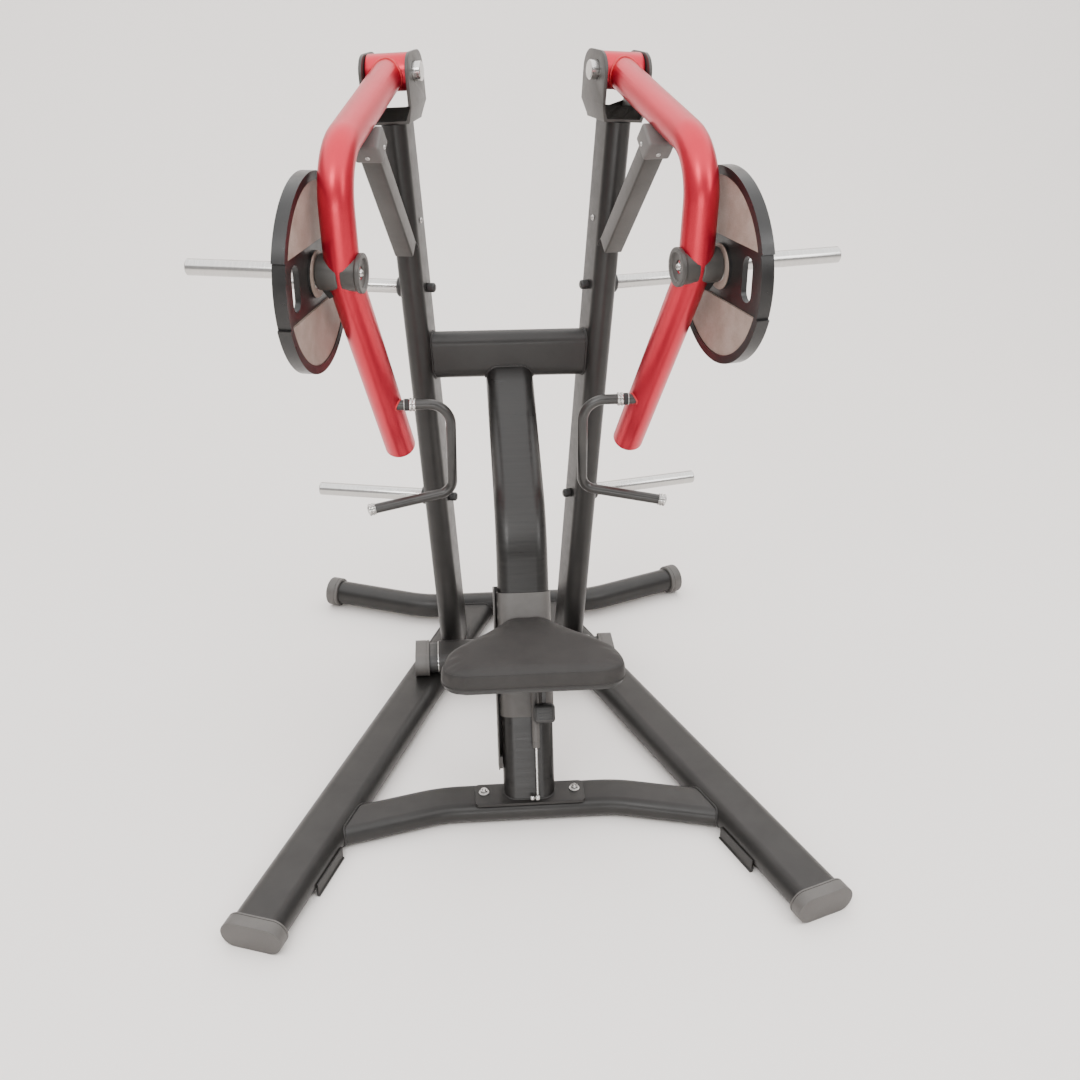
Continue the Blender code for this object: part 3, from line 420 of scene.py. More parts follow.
def studio_paper():
    look = Look("studio_paper")
    look.color(look.ramp(look.noise(0.8, 3.0, 0.5), (0.3, (0.885, 0.842, 0.810)),
                         (0.7, (0.895, 0.853, 0.822))))
    look.roughness(look.ramp(look.noise(2.0), (0.3, 0.70), (0.7, 0.80)))


def add_materials():
    powder_coat("frame_paint", (0.0135, 0.0124, 0.0116), (0.0215, 0.0200, 0.0188), 0.30, 0.37)
    powder_coat("bracket_paint", (0.046, 0.043, 0.040), (0.068, 0.064, 0.060), 0.30, 0.42)
    brushed_coat("column_paint", (0.0130, 0.0120, 0.0113), (0.0210, 0.0196, 0.0185), 0.35, 0.33)
    red_coat()
    moulded_plastic("grey_plastic", (0.066, 0.061, 0.057), (0.090, 0.084, 0.079), 0.48)
    moulded_plastic("grey_rubber", (0.100, 0.094, 0.089), (0.130, 0.123, 0.117), 0.60, 1100.0)
    moulded_plastic("black_plastic", (0.014, 0.014, 0.014), (0.028, 0.027, 0.026), 0.42)
    moulded_plastic("black_rubber", (0.012, 0.012, 0.012), (0.022, 0.021, 0.021), 0.70)
    powder_coat("grip_paint", (0.016, 0.015, 0.014), (0.032, 0.030, 0.028), 0.25, 0.33, 1300.0, 0.25)
    powder_coat("plate_rim", (0.0095, 0.0090, 0.0088), (0.0180, 0.0172, 0.0168), 0.20, 0.32)
    powder_coat("weld", (0.018, 0.017, 0.016), (0.028, 0.026, 0.025), 0.35, 0.46, 1200.0)
    powder_coat("red_weld", (0.420, 0.018, 0.025), (0.560, 0.032, 0.042), 0.40, 0.40, 1200.0)
    chrome_plate("chrome", 0.17, (40.0, 40.0, 900.0))
    chrome_plate("dull_zinc", 0.30, (300.0, 300.0, 500.0))
    plate_face()
    leather()
    studio_paper()


# ------------------------------------------------------------------- geometry

def link(name, data, matrix):
    obj = bpy.data.objects.new(name, data)
    bpy.context.scene.collection.objects.link(obj)
    obj.matrix_world = matrix
    return obj


def remove(obj):
    data = obj.data
    bpy.data.objects.remove(obj, do_unlink=True)
    if data.users == 0:
        bpy.data.batch_remove([data])


def evaluated_mesh(obj):
    bpy.context.view_layer.update()
    graph = bpy.context.evaluated_depsgraph_get()
    return bpy.data.meshes.new_from_object(obj.evaluated_get(graph))


def bake(obj):
    """Applies the object's modifiers."""
    mesh = evaluated_mesh(obj)
    obj.modifiers.clear()
    obj.data = mesh
    return obj


def cut(obj, *tools, operation="DIFFERENCE"):
    for tool in tools:
        step = obj.modifiers.new("cut", "BOOLEAN")
        step.operation = operation
        step.solver = "EXACT"
        step.object = tool
    bake(obj)
    for tool in tools:
        remove(tool)
    return obj


def round_edges(obj, width, segments=3, angle=40.0):
    step = obj.modifiers.new("edges", "BEVEL")
    step.width = width
    step.segments = segments
    step.limit_method = "ANGLE"
    step.angle_limit = math.radians(angle)
    return bake(obj)


def smooth(obj, angle):
    obj.data.shade_smooth()
    obj.data.set_sharp_from_angle(angle=math.radians(angle))


def place(obj, body, slot, look=None, angle=35.0, node=None):
    """Gives a piece its material (the look, or else the one named after its slot) and lists it for
    settle() with its body; fine_NODE stands for that CAD node.
    """
    if not obj.data.materials or look:
        obj.data.materials.clear()
        obj.data.materials.append(MATERIALS[look or slot])
    smooth(obj, angle)
    if obj.name.startswith("fine_"):
        node = obj.name.removeprefix("fine_")
    PIECES.append((obj, body, slot, node))
    return obj


def settle():
    """Carries every piece from the design position to the shared frame and onto its body."""
    shift = Matrix.Translation((0.0, TO_CENTRE_Y, 0.0))
    for obj, body, slot, node in PIECES:
        obj.matrix_world = shift @ obj.matrix_world
        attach(obj, body)
        if node:
            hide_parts(node)


def side_point(side, point):
    return Vector((side * point[0], point[1], point[2]))


def toed(side, origin):
    """Frame whose X axis is the arm's hinge direction on that side."""
    return spun(Matrix.Translation(side_point(side, origin)), side * TOE, "Z")


def pivot_frame(side):
    """Frame on an arm's hinge, level with the top of the leaning upright."""
    return spun(toed(side, PIVOT), side * PIVOT_TILT, "Y")


def shifted(frame, x, y, z):
    return frame @ Matrix.Translation((x, y, z))


def spun(frame, angle, axis):
    return frame @ Matrix.Rotation(angle, 4, axis)


def on_edge(frame):
    """Frame in which an outline drawn as (Y, Z) stands upright across the given X axis."""
    return spun(spun(frame, QUARTER, "Z"), QUARTER, "X")


def along(origin, direction, across):
    """Frame with Z along the direction and X as near as possible to across."""
    z_axis = Vector(direction).normalized()
    y_axis = z_axis.cross(Vector(across)).normalized()
    x_axis = y_axis.cross(z_axis)
    turn = Matrix((x_axis, y_axis, z_axis)).transposed().to_4x4()
    return Matrix.Translation(Vector(origin)) @ turn


def oval_points(width, height, steps=OVAL_STEPS):
    radius = height / 2
    reach = width / 2 - radius
    points = []
    for centre, start in ((reach, -90), (-reach, 90)):
        for i in range(steps + 1):
            angle = math.radians(start + 180 * i / steps)
            points.append((centre + radius * math.cos(angle), radius * math.sin(angle)))
    return points


def circle_points(radius, steps=ROUND_STEPS):
    turn = [2 * math.pi * i / steps for i in range(steps)]
    return [(radius * math.cos(a), radius * math.sin(a)) for a in turn]


def rounded_rectangle(half_x, half_y, corner, steps):
    points = []
    for x, y, start in ((1, 1, 0), (-1, 1, 90), (-1, -1, 180), (1, -1, 270)):
        for i in range(steps + 1):
            a = math.radians(start + 90 * i / steps)
            points.append((x * (half_x - corner) + corner * math.cos(a),
                           y * (half_y - corner) + corner * math.sin(a)))
    return points


def fillet(points, radius, steps):
    """The path with each inner corner replaced by an arc."""
    points = [Vector(p) for p in points]
    path = [points[0]]
    for before, corner, after in zip(points, points[1:], points[2:]):
        a = (before - corner).normalized()
        b = (after - corner).normalized()
        half = a.angle(b) / 2
        if half > math.radians(89):
            path.append(corner)
            continue
        reach = radius / math.tan(half)
        centre = corner + (a + b).normalized() * (radius / math.sin(half))
        first = corner + a * reach - centre
        last = corner + b * reach - centre
        axis = first.cross(last).normalized()
        sweep = first.angle(last)
        for i in range(steps + 1):
            turn = Matrix.Rotation(sweep * i / steps, 3, axis)
            path.append(centre + turn @ first)
    path.append(points[-1])
    return path


def soften(profile, radius, steps=4):
    """A turned profile with its corners rounded, as machining or moulding leaves them."""
    points = [Vector((p[0], p[1], 0.0)) for p in profile]
    out = [points[0]]
    for before, corner, after in zip(points, points[1:], points[2:]):
        a, b = before - corner, after - corner
        if min(a.length, b.length) < 1e-6:
            continue
        half = a.angle(b) / 2
        if half > math.radians(85):
            out.append(corner)
            continue
        r = min(radius, 0.45 * min(a.length, b.length) * math.tan(half))
        out += fillet([before, corner, after], r, steps)[1:-1]
    out.append(points[-1])
    return [(p.x, p.y) for p in out]


def new_curve(name, dimensions="3D"):
    curve = bpy.data.curves.new(name, "CURVE")
    curve.dimensions = dimensions
    return curve


def add_spline(curve, points, cyclic):
    spline = curve.splines.new("POLY")
    spline.points.add(len(points) - 1)
    for target, point in zip(spline.points, points):
        target.co = (*point, 0.0, 1.0) if len(point) == 2 else (*point, 1.0)
    spline.use_cyclic_u = cyclic
    return spline


def link_shape(name, shape, matrix):
    """Makes an object of a bmesh, which is freed."""
    mesh = bpy.data.meshes.new(name)
    shape.to_mesh(mesh)
    shape.free()
    return link(name, mesh, matrix)


def face_out(mesh, merge=False):
    """Points the faces outwards, after joining vertices that coincide if asked to."""
    shape = bmesh.new()
    shape.from_mesh(mesh)
    if merge:
        bmesh.ops.remove_doubles(shape, verts=shape.verts, dist=MERGE)
    bmesh.ops.recalc_face_normals(shape, faces=shape.faces)
    shape.to_mesh(mesh)
    shape.free()


def mesh_of(obj):
    """Turns a curve object into a mesh object of the same name."""
    mesh = evaluated_mesh(obj)
    face_out(mesh, merge=True)
    name, matrix = obj.name, obj.matrix_world.copy()
    remove(obj)
    return link(name, mesh, matrix)


def outline(name, loops, thickness, matrix):
    """Flat outline with holes, thickened evenly about its plane."""
    curve = new_curve(name, "2D")
    curve.fill_mode = "BOTH"
    curve.extrude = thickness / 2
    for loop in loops:
        add_spline(curve, loop, True)
    return mesh_of(link(name, curve, matrix))


def oval_tube(name, start, end, across, width, height, wall):
    """Straight flat-oval tube, open at both ends, or solid when wall is zero."""
    start, end = Vector(start), Vector(end)
    loops = [oval_points(width, height)]
    if wall:
        loops.append(oval_points(width - 2 * wall, height - 2 * wall))
    matrix = along((start + end) / 2, end - start, across)
    return outline(name, loops, (end - start).length, matrix)


def bent_oval(name, path, width, height, wall):
    """Flat-oval tube swept along a path, with the oval's width level."""
    profile = new_curve(f"{name}_profile", "2D")
    add_spline(profile, oval_points(width, height), True)
    guide = link(profile.name, profile, Matrix.Identity(4))
    curve = new_curve(name)
    curve.twist_mode = "Z_UP"
    curve.bevel_mode = "OBJECT"
    curve.bevel_object = guide
    add_spline(curve, path, False)
    tube = mesh_of(link(name, curve, Matrix.Identity(4)))
    remove(guide)
    return hollow(tube, wall)


def bent_round(name, path, radius, wall=0.0, resolution=10, radii=()):
    """Round tube or bar swept along a path, or a closed bead when each point has its radius."""
    curve = new_curve(name)
    curve.bevel_depth = radius
    curve.bevel_resolution = resolution
    curve.use_fill_caps = not wall
    spline = add_spline(curve, path, bool(radii))
    for point, share in zip(spline.points, radii):
        point.radius = share
    obj = mesh_of(link(name, curve, Matrix.Identity(4)))
    return hollow(obj, wall) if wall else obj


def hollow(obj, wall):
    shell = obj.modifiers.new("wall", "SOLIDIFY")
    shell.thickness = wall
    shell.offset = -1.0
    shell.use_rim = True
    return bake(obj)


def turned(name, profile, matrix, steps=ROUND_STEPS, soft=0.0):
    """Solid of revolution about local Z from (radius, z) points, top to bottom."""
    if soft:
        profile = soften(profile, soft)
    shape = bmesh.new()
    points = [shape.verts.new((radius, 0.0, z)) for radius, z in profile]
    for a, b in zip(points, points[1:]):
        shape.edges.new((a, b))
    if profile[0][0] > 0:
        shape.edges.new((points[-1], points[0]))
    obj = link_shape(name, shape, matrix)
    screw = obj.modifiers.new("turn", "SCREW")
    screw.axis = "Z"
    screw.angle = 2 * math.pi
    screw.steps = steps
    screw.render_steps = steps
    screw.use_merge_vertices = True
    screw.merge_threshold = MERGE
    bake(obj)
    face_out(obj.data)
    return obj


def block(name, size, matrix):
    shape = bmesh.new()
    bmesh.ops.create_cube(shape, size=1.0)
    bmesh.ops.scale(shape, vec=size, verts=shape.verts)
    return link_shape(name, shape, matrix)


def rod(name, radius, length, matrix, steps=ROUND_STEPS):
    """Cylinder centred on the frame's origin, along its Z."""
    shape = bmesh.new()
    bmesh.ops.create_cone(shape, cap_ends=True, segments=steps, radius1=radius,
                          radius2=radius, depth=length)
    return link_shape(name, shape, matrix)


def tree_of(obj):
    """Ray-casting tree of an object where it stands."""
    bpy.context.view_layer.update()
    points = [obj.matrix_world @ v.co for v in obj.data.vertices]
    return BVHTree.FromPolygons(points, [list(p.vertices) for p in obj.data.polygons])


def weld(name, section, frame, reach, target, radius=WELD_R, body="frame"):
    """Rippled bead where a section, sent along its frame's Z, lands on a neighbour."""
    tree = tree_of(target)
    heading = (frame.to_3x3() @ Vector((0.0, 0.0, 1.0))).normalized()
    hits = [tree.ray_cast(frame @ Vector((x, y, -reach)), heading, 2 * reach)[0]
            for x, y in section]
    path = evenly_spaced([hit for hit in hits if hit], WELD_PITCH)
    radii = [1.0 + 0.16 * math.sin(2.1 * i) + 0.08 * math.sin(5.7 * i) for i in range(len(path))]
    bead = bent_round(name, path, radius, 0.0, 3, radii)
    if body == "frame":
        place(bead, body, "frame_paint", look="weld", angle=60.0)
    else:
        place(bead, body, "red_paint", look="red_weld", angle=60.0)


def evenly_spaced(path, spacing):
    """The closed path with its points at an even spacing."""
    lengths = [0.0]
    ring = path + [path[0]]
    for a, b in zip(ring, ring[1:]):
        lengths.append(lengths[-1] + (b - a).length)
    count = max(12, int(lengths[-1] / spacing))
    out = []
    at = 0
    for i in range(count):
        want = lengths[-1] * i / count
        while lengths[at + 1] < want:
            at += 1
        span = lengths[at + 1] - lengths[at]
        out.append(ring[at].lerp(ring[at + 1], (want - lengths[at]) / span if span else 0.0))
    return out


# ----------------------------------------------------------------------- small hardware

def socket_screw(name, matrix, radius, height, body, look="dull_zinc", slot="chrome"):
    """Button-head screw with a hexagon socket, standing on the frame's XY plane."""
    profile = [(0.0, height), (radius * 0.62, height), (radius, height * 0.35), (radius, 0.0),
               (0.0, 0.0)]
    head = turned(name, profile, matrix, 40, radius * 0.25)
    socket = rod(f"{name}_socket", radius * 0.42, height * 1.1,
                 shifted(matrix, 0, 0, height), 6)
    cut(head, socket)
    return place(head, body, slot, look=look)


def washer(name, matrix, radius, bore, thick, body, look="dull_zinc", slot="chrome"):
    ring = turned(name, [(bore, thick), (radius, thick), (radius, 0.0), (bore, 0.0)], matrix, 48)
    round_edges(ring, thick * 0.25, 2)
    return place(ring, body, slot, look=look)


def hex_nut(name, matrix, across, height, body, node):
    """Hexagon nut with its upper corners chamfered."""
    nut = rod(name, across / math.sqrt(3), height, shifted(matrix, 0, 0, height / 2), 6)
    brim = across * 0.62
    cone = turned(f"{name}_chamfer", [(0.0, height), (across * 0.50, height), (brim, height * 0.78),
                                      (brim, 0.0), (0.0, 0.0)], matrix, 40)
    cut(nut, cone, operation="INTERSECT")
    place(nut, body, "chrome", node=node)


# ----------------------------------------------------------------------- base

def leg_direction(side):
    return Vector((-side * math.sin(LEG_HEADING), math.cos(LEG_HEADING), 0.0))


def leg_across(side):
    return Vector((math.cos(LEG_HEADING), side * math.sin(LEG_HEADING), 0.0))


def leg_ends(side):
    start = Vector((side * LEG_FRONT[0], LEG_FRONT[1], TUBE_H / 2))
    return start, start + leg_direction(side) * LEG_LENGTH


def swept_path(end, bend_x, y, z, radius):
    """Level path across the machine, with both ends turned to a point."""
    corners = [(-end[0], end[1]), (-bend_x, y), (bend_x, y), end]
    return fillet([(*p, z) for p in corners], radius, BEND_STEPS)


def rear_tube_path():
    return swept_path(REAR_TUBE_END, REAR_TUBE_BEND_X, REAR_TUBE_Y, REAR_TUBE_Z, REAR_TUBE_BEND_R)


def front_tube_path():
    return swept_path(FRONT_TUBE_END, FRONT_TUBE_BEND_X, FRONT_TUBE_Y, FRONT_TUBE_Z,
                      FRONT_TUBE_BEND_R)


def tube_cap(name, width, height, length, frame, lip):
    """Moulded end cap: rounded outer face, a shallow step where it meets the tube."""
    cap = outline(name, [oval_points(width, height)], length, frame)
    round_edges(cap, 0.0075, 4)
    step = outline(f"{name}_step", [oval_points(width + 0.02, height + 0.02),
                                    oval_points(width - 0.003, height - 0.003)], 0.0016,
                   shifted(frame, 0, 0, lip))
    return cut(cap, step)


def add_leg(side, word):
    start, end = leg_ends(side)
    leg = oval_tube(f"fine_{word}_leg", start, end, leg_across(side), TUBE_W, TUBE_H, TUBE_WALL)
    cut(leg, bent_round(f"{word}_leg_cope", rear_tube_path(), REAR_TUBE_R + 2 * GAP))
    place(leg, "frame", "frame_paint")
    reach = FOOT_CAP_LENGTH / 2 + GAP
    centre = start - leg_direction(side) * reach
    centre.z = FOOT_CAP_H / 2
    cap = tube_cap(f"fine_{word}_foot_cap", FOOT_CAP_W, FOOT_CAP_H, FOOT_CAP_LENGTH,
                   along(centre, leg_direction(side), leg_across(side)), 0.0125)
    place(cap, "frame", "grey_plastic")
    return leg


def add_floor_bracket(side, word):
    """Angle bolted to the floor, its upright flange against the inner side of the leg."""
    inward = -side * leg_across(side)
    start, _ = leg_ends(side)
    centre = start + leg_direction(side) * BRACKET_DISTANCE + inward * (TUBE_W / 2 + GAP)
    centre.z = 0.0
    corners = [(0.0, 0.0), (BRACKET_FLANGE, 0.0), (BRACKET_FLANGE, BRACKET_THICK),
               (BRACKET_THICK, BRACKET_THICK), (BRACKET_THICK, BRACKET_HIGH), (0.0, BRACKET_HIGH)]
    turn = Matrix((inward, Vector((0.0, 0.0, 1.0)),
                   leg_direction(side) * side)).transposed().to_4x4()
    bracket = outline(f"fine_{word}_floor_bracket", [corners], BRACKET_LENGTH,
                      Matrix.Translation(centre) @ turn)
    round_edges(bracket, 0.0010, 2)
    place(bracket, "frame", "frame_paint")


def add_front_tube(legs):
    """Bowed oval tube between the legs, coped to both."""
    tube = bent_oval("fine_front_cross_tube", front_tube_path(), FRONT_TUBE_W, FRONT_TUBE_H,
                     TUBE_WALL)
    for side, word in SIDES:
        start, end = leg_ends(side)
        cope = oval_tube(f"{word}_front_cope", start, end, leg_across(side), TUBE_W + 2 * GAP,
                         TUBE_H + 2 * GAP, 0.0)
        trim = block(f"{word}_front_trim", (0.12, 0.4, 0.2),
                     Matrix.Translation((side * 0.545, -0.42, 0.03)))
        cut(tube, cope, trim)
        tip = side_point(side, (*FRONT_TUBE_END, FRONT_TUBE_Z))
        inner = side_point(side, (FRONT_TUBE_BEND_X, FRONT_TUBE_Y, FRONT_TUBE_Z))
        section = along(tip - (tip - inner).normalized() * 0.12, tip - inner, (0, 1, 0))
        weld(f"weld_{word}_front_tube", oval_points(FRONT_TUBE_W, FRONT_TUBE_H), section, 0.10,
             legs[side])
    place(tube, "frame", "frame_paint")


def add_rear_tube():
    """Bowed round tube across the rear ends of the legs, with its caps and welds."""
    path = rear_tube_path()
    tube = bent_round("fine_rear_cross_tube", path, REAR_TUBE_R, TUBE_WALL)
    place(tube, "frame", "frame_paint")
    r, h = REAR_CAP_R, REAR_CAP_LENGTH
    profile = [(0, h - 0.0015), (r * 0.62, h - 0.0015), (r * 0.66, h), (r, h), (r, 0.012),
               (r - 0.0015, 0.011), (r - 0.0015, 0.009), (r, 0.008), (r, 0), (0, 0)]
    for word, tip, inner in (("left", path[0], path[1]), ("right", path[-1], path[-2])):
        outward = (tip - inner).normalized()
        cap = turned(f"fine_{word}_rear_cap", profile,
                     along(tip + outward * GAP, outward, (0, 0, 1)), 72, 0.006)
        place(cap, "frame", "grey_plastic")
    for side, word in SIDES:
        lower, upper = leg_ends(side)
        section = along((lower + upper) / 2, leg_direction(side), leg_across(side))
        weld(f"weld_{word}_leg_end", oval_points(TUBE_W, TUBE_H), section, 1.0, tube)


def foot_tube_frame(side, x):
    """Frame on the foot tube's axis, at a distance from the middle of the machine."""
    z = TUBE_H + GAP + TUBE_H / 2
    return along((side * x, FOOT_TUBE_Y, z), (1, 0, 0), (0, 1, 0))


def add_foot_cross_tube():
    """Tube across both legs, with a dark neck and a bright band behind each end cap."""
    ends = [foot_tube_frame(side, FOOT_TUBE_NECK_X).translation for side, _ in SIDES]
    tube = oval_tube("fine_foot_cross_tube", *ends, (0, 1, 0), TUBE_W, TUBE_H, TUBE_WALL)
    place(tube, "frame", "frame_paint")
    for side, word in SIDES:
        neck = outline(f"neck_{word}_foot_tube", [oval_points(TUBE_W - 0.012, TUBE_H - 0.012)],
                       0.040, foot_tube_frame(side, 0.236))
        round_edges(neck, 0.002, 2)
        place(neck, "frame", "black_plastic")
        band = outline(f"band_{word}_foot_tube", [oval_points(TUBE_W - 0.003, TUBE_H - 0.003)],
                       0.0030, foot_tube_frame(side, FOOT_TUBE_NECK_X + 0.0017))
        round_edges(band, 0.0010, 2)
        place(band, "frame", "chrome")
        middle = FOOT_TUBE_HALF + GAP + FOOT_TUBE_CAP_LENGTH / 2
        cap = tube_cap(f"fine_{word}_foot_tube_cap", TUBE_W + 0.012, TUBE_H,
                       FOOT_TUBE_CAP_LENGTH, foot_tube_frame(side, middle), -side * 0.012)
        place(cap, "frame", "grey_plastic")


# --------------------------------------------------------------------- column

def column_top():
    return FRONT_TUBE_Z + FRONT_TUBE_H / 2 + GAP + PLATE_SIZE[2]


def add_base_plate():
    """Plate under the column, with a washer, nut and stud end at each side."""
    loop = rounded_rectangle(PLATE_SIZE[0] / 2, PLATE_SIZE[1] / 2, PLATE_CORNER_R, 6)
    plate = outline("fine_column_base_plate", [loop], PLATE_SIZE[2],
                    Matrix.Translation((0.0, PLATE_Y, column_top() - PLATE_SIZE[2] / 2)))
    round_edges(plate, 0.0012, 3)
    place(plate, "frame", "frame_paint")
    for side, word in SIDES:
        seat = Matrix.Translation((side * BOLT_X, PLATE_Y + 0.008, column_top() + GAP))
        washer(f"washer_{word}_base", seat, 0.0130, 0.0050, 0.0022, "frame")
        hex_nut(f"nut_{word}_base", shifted(seat, 0, 0, 0.0023), 0.0165, 0.0068, "frame",
                f"{word}_base_bolt")
        stud = turned(f"stud_{word}_base", [(0, 0.0125), (0.0046, 0.0125), (0.0054, 0.0112),
                                            (0.0054, 0.0), (0, 0)], seat, 32)
        place(stud, "frame", "chrome")
    return plate


def column_path():
    lean = math.tan(COLUMN_LEAN)
    z0 = column_top() + GAP
    corner = (0.0, COLUMN_FOOT_Y + lean * (COLUMN_CORNER_Z - z0), COLUMN_CORNER_Z)
    points = [(0.0, COLUMN_FOOT_Y - lean * 0.05, z0 - 0.05), corner, (0.0, *COLUMN_TOP)]
    return fillet(points, COLUMN_BEND_R, 24)


def column_frame(distance):
    """Frame on the column's axis, X sideways, Y to the rear, Z up along the lean."""
    up = Vector((0.0, math.sin(COLUMN_LEAN), math.cos(COLUMN_LEAN)))
    origin = Vector((0.0, COLUMN_FOOT_Y, column_top() + GAP)) + up * distance
    return along(origin, up, (1, 0, 0))


def add_column(plate, beam):
    path = column_path()
    column = bent_oval("fine_seat_column", path, TUBE_W, TUBE_H, TUBE_WALL)
    below = block("column_foot_trim", (0.4, 0.4, 0.2),
                  Matrix.Translation((0.0, COLUMN_FOOT_Y, column_top() + GAP - 0.1)))
    cope = oval_tube("column_cope", (-0.2, BEAM_Y, BEAM_Z), (0.2, BEAM_Y, BEAM_Z), (0, 0, 1),
                     TUBE_W + 2 * GAP, TUBE_H + 2 * GAP, 0.0)
    cut(column, below, cope)
    place(column, "frame", "frame_paint", look="column_paint")
    foot = spun(column_frame(0.06), math.pi, "X")
    weld("weld_column_foot", oval_points(TUBE_W, TUBE_H), foot, 0.15, plate, FOOT_WELD_R)
    top = along(path[-1], path[-1] - path[-2], (1, 0, 0))
    weld("weld_column_top", oval_points(TUBE_W, TUBE_H), top, 0.15, beam, WIDE_WELD_R)


# ------------------------------------------------------------------- uprights

def upright_across(side):
    """Direction of the long side of the upright's oval."""
    return Vector((side * math.sin(TOE), -math.cos(TOE), 0.0))


def upright_line(side):
    return side_point(side, UPRIGHT_FOOT), side_point(side, UPRIGHT_TOP)


def upright_solid(name, side, grow=0.0, wall=0.0, past=0.03):
    foot, top = upright_line(side)
    up = (top - foot).normalized()
    return oval_tube(name, foot - up * past, top + up * past, upright_across(side),
                     TUBE_W + grow, TUBE_H + grow, wall)


def add_upright(side, word, leg):
    tube = upright_solid(f"fine_{word}_upright", side, 0.0, TUBE_WALL)
    under = -CLEVIS_BASE_DROP - CLEVIS_PLATE / 2 - GAP
    below = Matrix.Translation((side * 0.22, 0.40, TUBE_H + GAP - 0.1))
    above = shifted(pivot_frame(side), 0.0, 0.0, under + 0.1)
    cut(tube, block(f"{word}_foot_trim", (0.4, 0.4, 0.2), below),
        block(f"{word}_top_trim", (0.4, 0.4, 0.2), above))
    place(tube, "frame", "frame_paint")
    foot, top = upright_line(side)
    down = along(foot + (top - foot) * 0.1, foot - top, upright_across(side))
    weld(f"weld_{word}_upright_foot", oval_points(TUBE_W, TUBE_H), down, 0.30, leg,
         WIDE_WELD_R)
    inner = spun(toed(side, upright_at(UPRIGHT_SCREW_Z)), -QUARTER * side, "Y")
    socket_screw(f"screw_{word}_upright", shifted(inner, 0, 0, TUBE_H / 2), 0.0075, 0.0045, "frame")
    return tube


def upright_at(z):
    """Point of the right upright's axis at a height."""
    foot, top = Vector(UPRIGHT_FOOT), Vector(UPRIGHT_TOP)
    return foot + (top - foot) * ((z - foot.z) / (top.z - foot.z))


def add_cross_beam(uprights):
    beam = oval_tube("fine_cross_beam", (-0.26, BEAM_Y, BEAM_Z), (0.26, BEAM_Y, BEAM_Z), (0, 0, 1),
                     TUBE_W, TUBE_H, TUBE_WALL)
    for side, word in SIDES:
        cut(beam, upright_solid(f"{word}_beam_cope", side, 2 * GAP),
            block(f"{word}_beam_trim", (0.12, 0.4, 0.4),
                  Matrix.Translation((side * (BEAM_HALF + 0.06), BEAM_Y, BEAM_Z))))
        section = along((side * 0.15, BEAM_Y, BEAM_Z), (side, 0, 0), (0, 0, 1))
        weld(f"weld_{word}_beam", oval_points(TUBE_W, TUBE_H), section, 0.10, uprights[side],
             WIDE_WELD_R)
    return place(beam, "frame", "frame_paint")


def rounded_cheek():
    """Side view of the fork in its own frame: round-cornered top, tapered foot."""
    front, back, top, r = -CLEVIS_FRONT, CLEVIS_BACK, CLEVIS_TOP, CLEVIS_CORNER_R
    base = -CLEVIS_BASE_DROP
    loop = [(front + 0.010, base - 0.02), (back - 0.022, base - 0.02), (back - 0.022, base + 0.003),
            (back, -CLEVIS_BEND_DROP)]
    for centre, start in ((back - r, 0), (front + r, 90)):
        for i in range(17):
            angle = math.radians(start + 90 * i / 16)
            loop.append((centre + r * math.cos(angle), top - r + r * math.sin(angle)))
    loop += [(front, -CLEVIS_BEND_DROP), (front + 0.010, base + 0.003)]
    return loop


def add_clevis(side, word):
    """Bent-plate fork: base on the upright, flared flanks, two round-topped cheeks."""
    half = CLEVIS_PLATE / 2
    top, bend, base = CLEVIS_TOP + 0.02, -CLEVIS_BEND_DROP, -CLEVIS_BASE_DROP
    out_x = CLEVIS_INSIDE + CLEVIS_PLATE
    loop = [(out_x, top), (CLEVIS_INSIDE, top), (CLEVIS_INSIDE, bend),
            (CLEVIS_BASE_HALF - half, base + half), (-CLEVIS_BASE_HALF + half, base + half),
            (-CLEVIS_INSIDE, bend), (-CLEVIS_INSIDE, top), (-out_x, top), (-out_x, bend - 0.001),
            (-CLEVIS_BASE_HALF - half, base - half), (CLEVIS_BASE_HALF + half, base - half),
            (out_x, bend - 0.001)]
    frame = pivot_frame(side)
    clevis = outline(f"fine_{word}_clevis", [loop], 0.24, spun(frame, QUARTER, "X"))
    cut(clevis, outline(f"{word}_clevis_window", [rounded_cheek()], 0.2, on_edge(frame)),
        operation="INTERSECT")
    cut(clevis, rod(f"{word}_clevis_bore", PIN_R + 0.0004, 0.3, spun(frame, QUARTER, "Y")))
    round_edges(clevis, 0.0013, 3, 50.0)
    place(clevis, "frame", "frame_paint", look="bracket_paint")


def add_pin(side, word):
    a, b, r, bevel = PIN_INNER, PIN_OUTER, PIN_R, 0.0022
    profile = [(0, b), (r - bevel, b), (r, b - bevel), (r, bevel - a), (r - bevel, -a), (0, -a)]
    pin = turned(f"fine_{word}_pivot_pin", profile, spun(pivot_frame(side), QUARTER * side, "Y"),
                 72, 0.0008)
    place(pin, "frame", "chrome")


def stop_line(side):
    """Foot and top of the stop arm, and the direction across it."""
    across = Vector((math.cos(TOE), side * math.sin(TOE), 0.0))
    return side_point(side, STOP_FOOT), side_point(side, STOP_TOP), across


